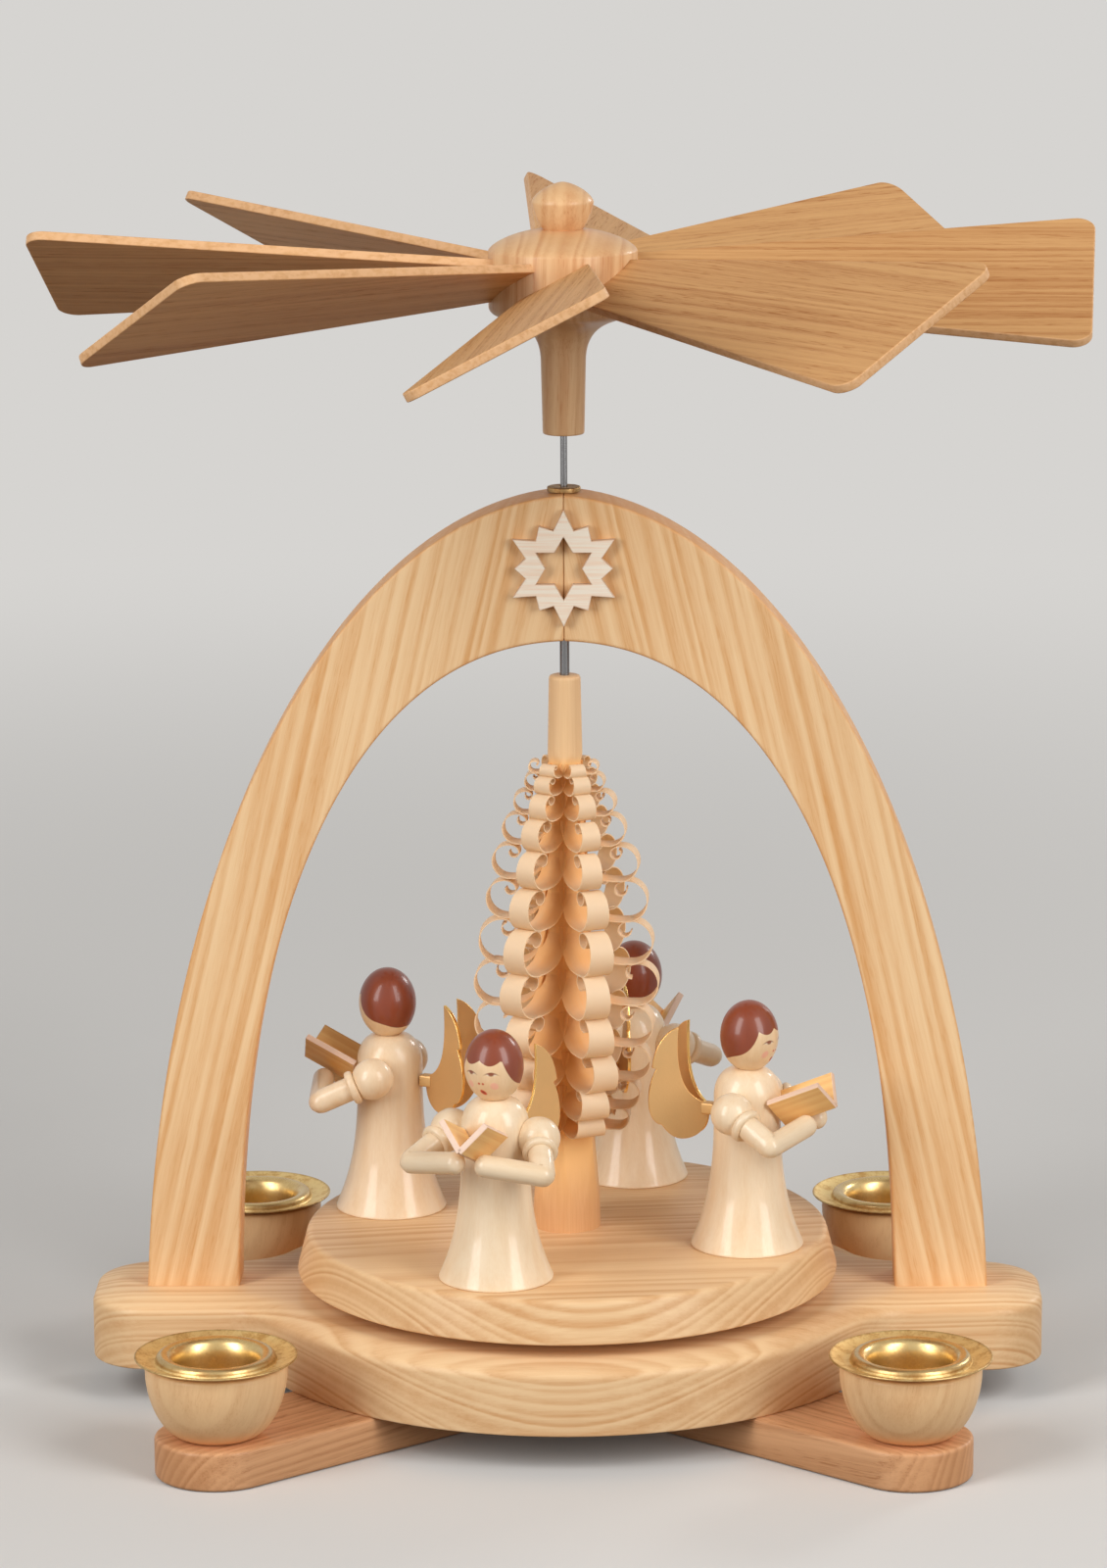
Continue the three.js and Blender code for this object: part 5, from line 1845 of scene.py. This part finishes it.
class Star(bpy.types.Operator):
    """Saw the star on the arch."""

    bl_idname = "pyramid.star"
    bl_label = "Star"

    def execute(self, context):
        sizes = context.scene.pyramid_stand
        face = -(sizes.arch_thickness + sizes.star_thickness) / 2
        star = star_shape(sizes).grained((1, 0.04, 0), (0, 1, 0), (0, 40, 10))
        star = star.moved(turn_about("X", QUARTER), (0, face, sizes.star_height))
        add_piece("star_cutout", star, "star_board", "stand", "star")
        return {"FINISHED"}


class Bearings(bpy.types.Operator):
    """Turn the brass bush in the crown and the foot bearing in the base plate."""

    bl_idname = "pyramid.bearings"
    bl_label = "Bearings"

    def execute(self, context):
        sizes = context.scene.pyramid_stand
        add_piece("crown_bush", bush_shape(sizes), "pressed_brass", "stand", "top_bush")
        bearing = bearing_shape(sizes, low("pivot_bearing") * MM, high("pivot_bearing", 0) * MM)
        add_piece("foot_bearing", bearing, "pressed_brass", "stand", "pivot_bearing")
        return {"FINISHED"}


class Spindle(bpy.types.Operator):
    """Draw the steel spindle."""

    bl_idname = "pyramid.spindle"
    bl_label = "Spindle"

    def execute(self, context):
        shape = spindle_shape(context.scene.pyramid_wheel, context.scene.pyramid_stand)
        add_piece("spindle_rod", shape, "drawn_steel", "rotor", "spindle")
        return {"FINISHED"}


class Hub(bpy.types.Operator):
    """Turn the hub with its drum and knob."""

    bl_idname = "pyramid.hub"
    bl_label = "Hub"

    def execute(self, context):
        hub = hub_shape(context.scene.pyramid_wheel).grained((0.03, 0.02, 1), (1, 0, -0.03), (700, 62, 9))
        add_piece("hub_turning", hub, "hub_ash", "rotor", "hub")
        return {"FINISHED"}


class Blades(bpy.types.Operator):
    """Saw the blades and set them into the drum at their pitch."""

    bl_idname = "pyramid.blades"
    bl_label = "Blades"

    def execute(self, context):
        sizes = context.scene.pyramid_wheel
        drum_foot, drum_top, _, _ = drum_heights(sizes)
        pitch = turn_about("X", sizes.blade_pitch)
        for index in range(sizes.blade_count):
            heading = turn_about("Z", sizes.blade_turn + 2 * math.pi * index / sizes.blade_count)
            offset = (190 * index, 34 + 13 * ((index * 5) % 8), 14 + 9 * ((index * 3) % 8))
            blade = blade_shape(sizes).grained((1, 0.03 * (index % 3 - 1), 0.02), (0, 1, 0), offset)
            blade = blade.moved(heading @ pitch, (0, 0, (drum_foot + drum_top) / 2))
            add_piece(f"blade_board_{index + 1}", blade, "blade_ash", "rotor", f"blade_{index + 1}")
        return {"FINISHED"}


class Turntable(bpy.types.Operator):
    """Turn the table that carries the tree and the angels."""

    bl_idname = "pyramid.turntable"
    bl_label = "Turntable"

    def execute(self, context):
        sizes = context.scene.pyramid_table
        bore = context.scene.pyramid_wheel.spindle_radius
        table = turntable_shape(sizes, bore).grained((1, 0.12, 0.02), (-0.12, 1, 0), (500, 27, 6))
        add_piece("table_disc", table, "plate_ash", "rotor", "turntable")
        return {"FINISHED"}


class ShavedTree(bpy.types.Operator):
    """Pare the stick and curl its shavings."""

    bl_idname = "pyramid.shaved_tree"
    bl_label = "Shaved Tree"

    def execute(self, context):
        sizes = context.scene.pyramid_table
        stick = stick_shape(sizes).grained(UP, (1, 0, 0), (0, 20, 20))
        curls = curls_shape(sizes)
        curls.fibre = np.zeros_like(curls.points)
        stick.marks = {name: stick.marks[name] for name in curls.marks}
        add_piece("shaved_tree", joined(curls, stick), "shavings", "rotor", "tree")
        return {"FINISHED"}


class Gowns(bpy.types.Operator):
    """Turn the angels' gowns."""

    bl_idname = "pyramid.gowns"
    bl_label = "Gowns"

    def execute(self, context):
        for angel in all_angels(context.scene):
            gown = gown_shape(context.scene.pyramid_angels)
            angel.add("gown", gown.grained(UP, (1, 0, 0), (300 * angel.number, 30, 40)), "figure_maple")
        return {"FINISHED"}


class Heads(bpy.types.Operator):
    """Turn and paint the angels' heads."""

    bl_idname = "pyramid.heads"
    bl_label = "Heads"

    def execute(self, context):
        for angel in all_angels(context.scene):
            head = head_shape(context.scene.pyramid_angels)
            angel.add("head", head.grained(UP, (1, 0, 0), (300 * angel.number, 60, 20)), "painted_head")
        return {"FINISHED"}


class Arms(bpy.types.Operator):
    """Turn and mitre the angels' arms."""

    bl_idname = "pyramid.arms"
    bl_label = "Arms"

    def execute(self, context):
        for angel in all_angels(context.scene):
            for hand, side in (("_left", 1), ("_right", -1)):
                angel.add("arm", arm_shape(context.scene.pyramid_angels, side), "figure_maple", hand)
        return {"FINISHED"}


class Books(bpy.types.Operator):
    """Saw the angels' songbooks."""

    bl_idname = "pyramid.books"
    bl_label = "Songbooks"

    def execute(self, context):
        for angel in all_angels(context.scene):
            angel.add("book", book_shape(context.scene.pyramid_angels), "book_boards")
        return {"FINISHED"}


class Wings(bpy.types.Operator):
    """Cut and gild the angels' wings."""

    bl_idname = "pyramid.wings"
    bl_label = "Wings"

    def execute(self, context):
        for angel in all_angels(context.scene):
            angel.add("wings", wings_shape(context.scene.pyramid_angels), "gilding")
        return {"FINISHED"}


class Stage(bpy.types.Operator):
    """Lay the floor, hang the lights and set the camera."""

    bl_idname = "pyramid.stage"
    bl_label = "Stage"

    def execute(self, context):
        settings = context.scene.pyramid_stage
        lay_floor(settings)
        light_world(settings)
        tall = settings.tall_width, settings.tall_height
        small = settings.back_size, settings.back_size
        for name, power, place, extent in (
            ("right_light", settings.right_power, settings.right_place, tall),
            ("left_light", settings.left_power, settings.left_place, tall),
            ("back_light", settings.back_power, settings.back_place, small),
        ):
            hang_light(name, power, place, extent, settings.aim_height)
        set_camera(settings)
        context.scene.view_settings.view_transform = "Standard"
        return {"FINISHED"}


def seen_rays(nodes):
    """1 for the rays that show the background: from the camera, in mirrors and through glass."""
    rays = nodes.add("ShaderNodeLightPath")
    seen = rays.math("MAXIMUM", rays, rays.other("Is Glossy Ray"))
    return seen.math("MAXIMUM", seen, rays.other("Is Transmission Ray"))


def lay_floor(settings):
    """A round pale floor; far out it turns into the plain background."""
    rings = [settings.floor_radius, settings.floor_far, settings.floor_near, 0]
    disc = revolved([[radius, -settings.floor_drop] for radius in rings], sides=64)
    mesh = bpy.data.meshes.new("floor")
    mesh.from_pydata(disc.points, [], [face for part in disc.faces for face in part.tolist()])
    nodes = new_nodes("pale_floor")
    x, y, _ = nodes.split(nodes.add("ShaderNodeTexCoord", output=3))
    far = nodes.step((x * x + y * y) ** 0.5, settings.floor_near, settings.floor_far)
    seen = seen_rays(nodes)
    tint = nodes.mix(seen, palette().bounce, palette().floor)
    matt = nodes.add("ShaderNodeBsdfDiffuse", None, {"Color": tint})
    glow = nodes.add("ShaderNodeEmission", None, {"Color": palette().far_floor, "Strength": 1.0})
    surface = nodes.add("ShaderNodeMixShader", None, {0: far * seen, 1: matt, 2: glow})
    nodes.add("ShaderNodeOutputMaterial", None, {"Surface": surface})
    mesh.materials.append(bpy.data.materials["pale_floor"])
    floor = add_object("floor", mesh)


def light_world(settings):
    """Even light from all round; the camera sees the floor's colour there."""
    world = bpy.data.worlds.new("studio")
    world.use_nodes = True
    nodes = Nodes(world.node_tree)
    strength = settings.world_level + seen_rays(nodes) * (1 - settings.world_level)
    back = nodes.add("ShaderNodeBackground", None, {"Color": palette().far_floor, "Strength": strength})
    nodes.add("ShaderNodeOutputWorld", None, {"Surface": back})
    bpy.context.scene.world = world


def hang_light(name, power, place, extent, aim_height):
    """An upright soft light that looks at the spindle."""
    light = bpy.data.lights.new(name, "AREA")
    light.energy = power
    light.shape = "RECTANGLE"
    light.size, light.size_y = extent
    lamp = add_object(name, light)
    aim = Vector((0, 0, aim_height)) - Vector(place)
    lamp.matrix_world = Matrix.Translation(place) @ aim.to_track_quat("-Z", "Y").to_matrix().to_4x4()


def set_camera(settings):
    """The photograph's view: placed, turned to its heading, tilted down and rolled."""
    camera = bpy.data.cameras.new("camera")
    camera.sensor_width = SENSOR
    camera.lens = settings.camera_focus / PICTURE_HEIGHT * SENSOR
    camera.clip_end = 100
    eye = add_object("camera", camera)
    place = Matrix.Translation((settings.camera_right, -settings.camera_back, settings.camera_height))
    heading = Matrix.Rotation(-settings.camera_heading, 4, "Z")
    tilt = Matrix.Rotation(QUARTER - settings.camera_tilt, 4, "X")
    roll = Matrix.Rotation(settings.camera_roll, 4, "Z")
    eye.matrix_world = place @ heading @ tilt @ roll
    bpy.context.scene.camera = eye


PIECES = (
    CrossBars,
    CandleCups,
    CandleSockets,
    BasePlate,
    Arch,
    Star,
    Bearings,
    Spindle,
    Hub,
    Blades,
    Turntable,
    ShavedTree,
    Gowns,
    Heads,
    Arms,
    Books,
    Wings,
    Stage,
)

GROUPS = {
    "pyramid_stand": StandSizes,
    "pyramid_wheel": WheelSizes,
    "pyramid_table": TableSizes,
    "pyramid_angels": AngelSizes,
    "pyramid_colours": FinishColours,
    "pyramid_stage": StageSettings,
}


class PyramidPanel(bpy.types.Panel):
    """Lists the pyramid's pieces and their sizes in the sidebar."""

    bl_idname = "VIEW3D_PT_pyramid"
    bl_label = "Christmas Pyramid"
    bl_space_type = "VIEW_3D"
    bl_region_type = "UI"
    bl_category = "Pyramid"

    def draw(self, context):
        for piece in PIECES:
            self.layout.operator(piece.bl_idname)
        for name, group in GROUPS.items():
            box = self.layout.box()
            for key in group.__annotations__:
                box.prop(getattr(context.scene, name), key)


def register():
    """Registers the property groups, the operators and the panel."""
    for name, group in GROUPS.items():
        bpy.utils.register_class(group)
        setattr(bpy.types.Scene, name, bpy.props.PointerProperty(type=group))
    for piece in (*PIECES, PyramidPanel):
        bpy.utils.register_class(piece)


def unregister():
    """Removes what register added."""
    for piece in reversed((*PIECES, PyramidPanel)):
        bpy.utils.unregister_class(piece)
    for name, group in GROUPS.items():
        delattr(bpy.types.Scene, name)
        bpy.utils.unregister_class(group)


def main():
    """Builds the pyramid piece by piece, then the stage."""
    register()
    for piece in PIECES:
        group, operation = piece.bl_idname.split(".")
        getattr(getattr(bpy.ops, group), operation)()


if __name__ == "__main__":
    main()
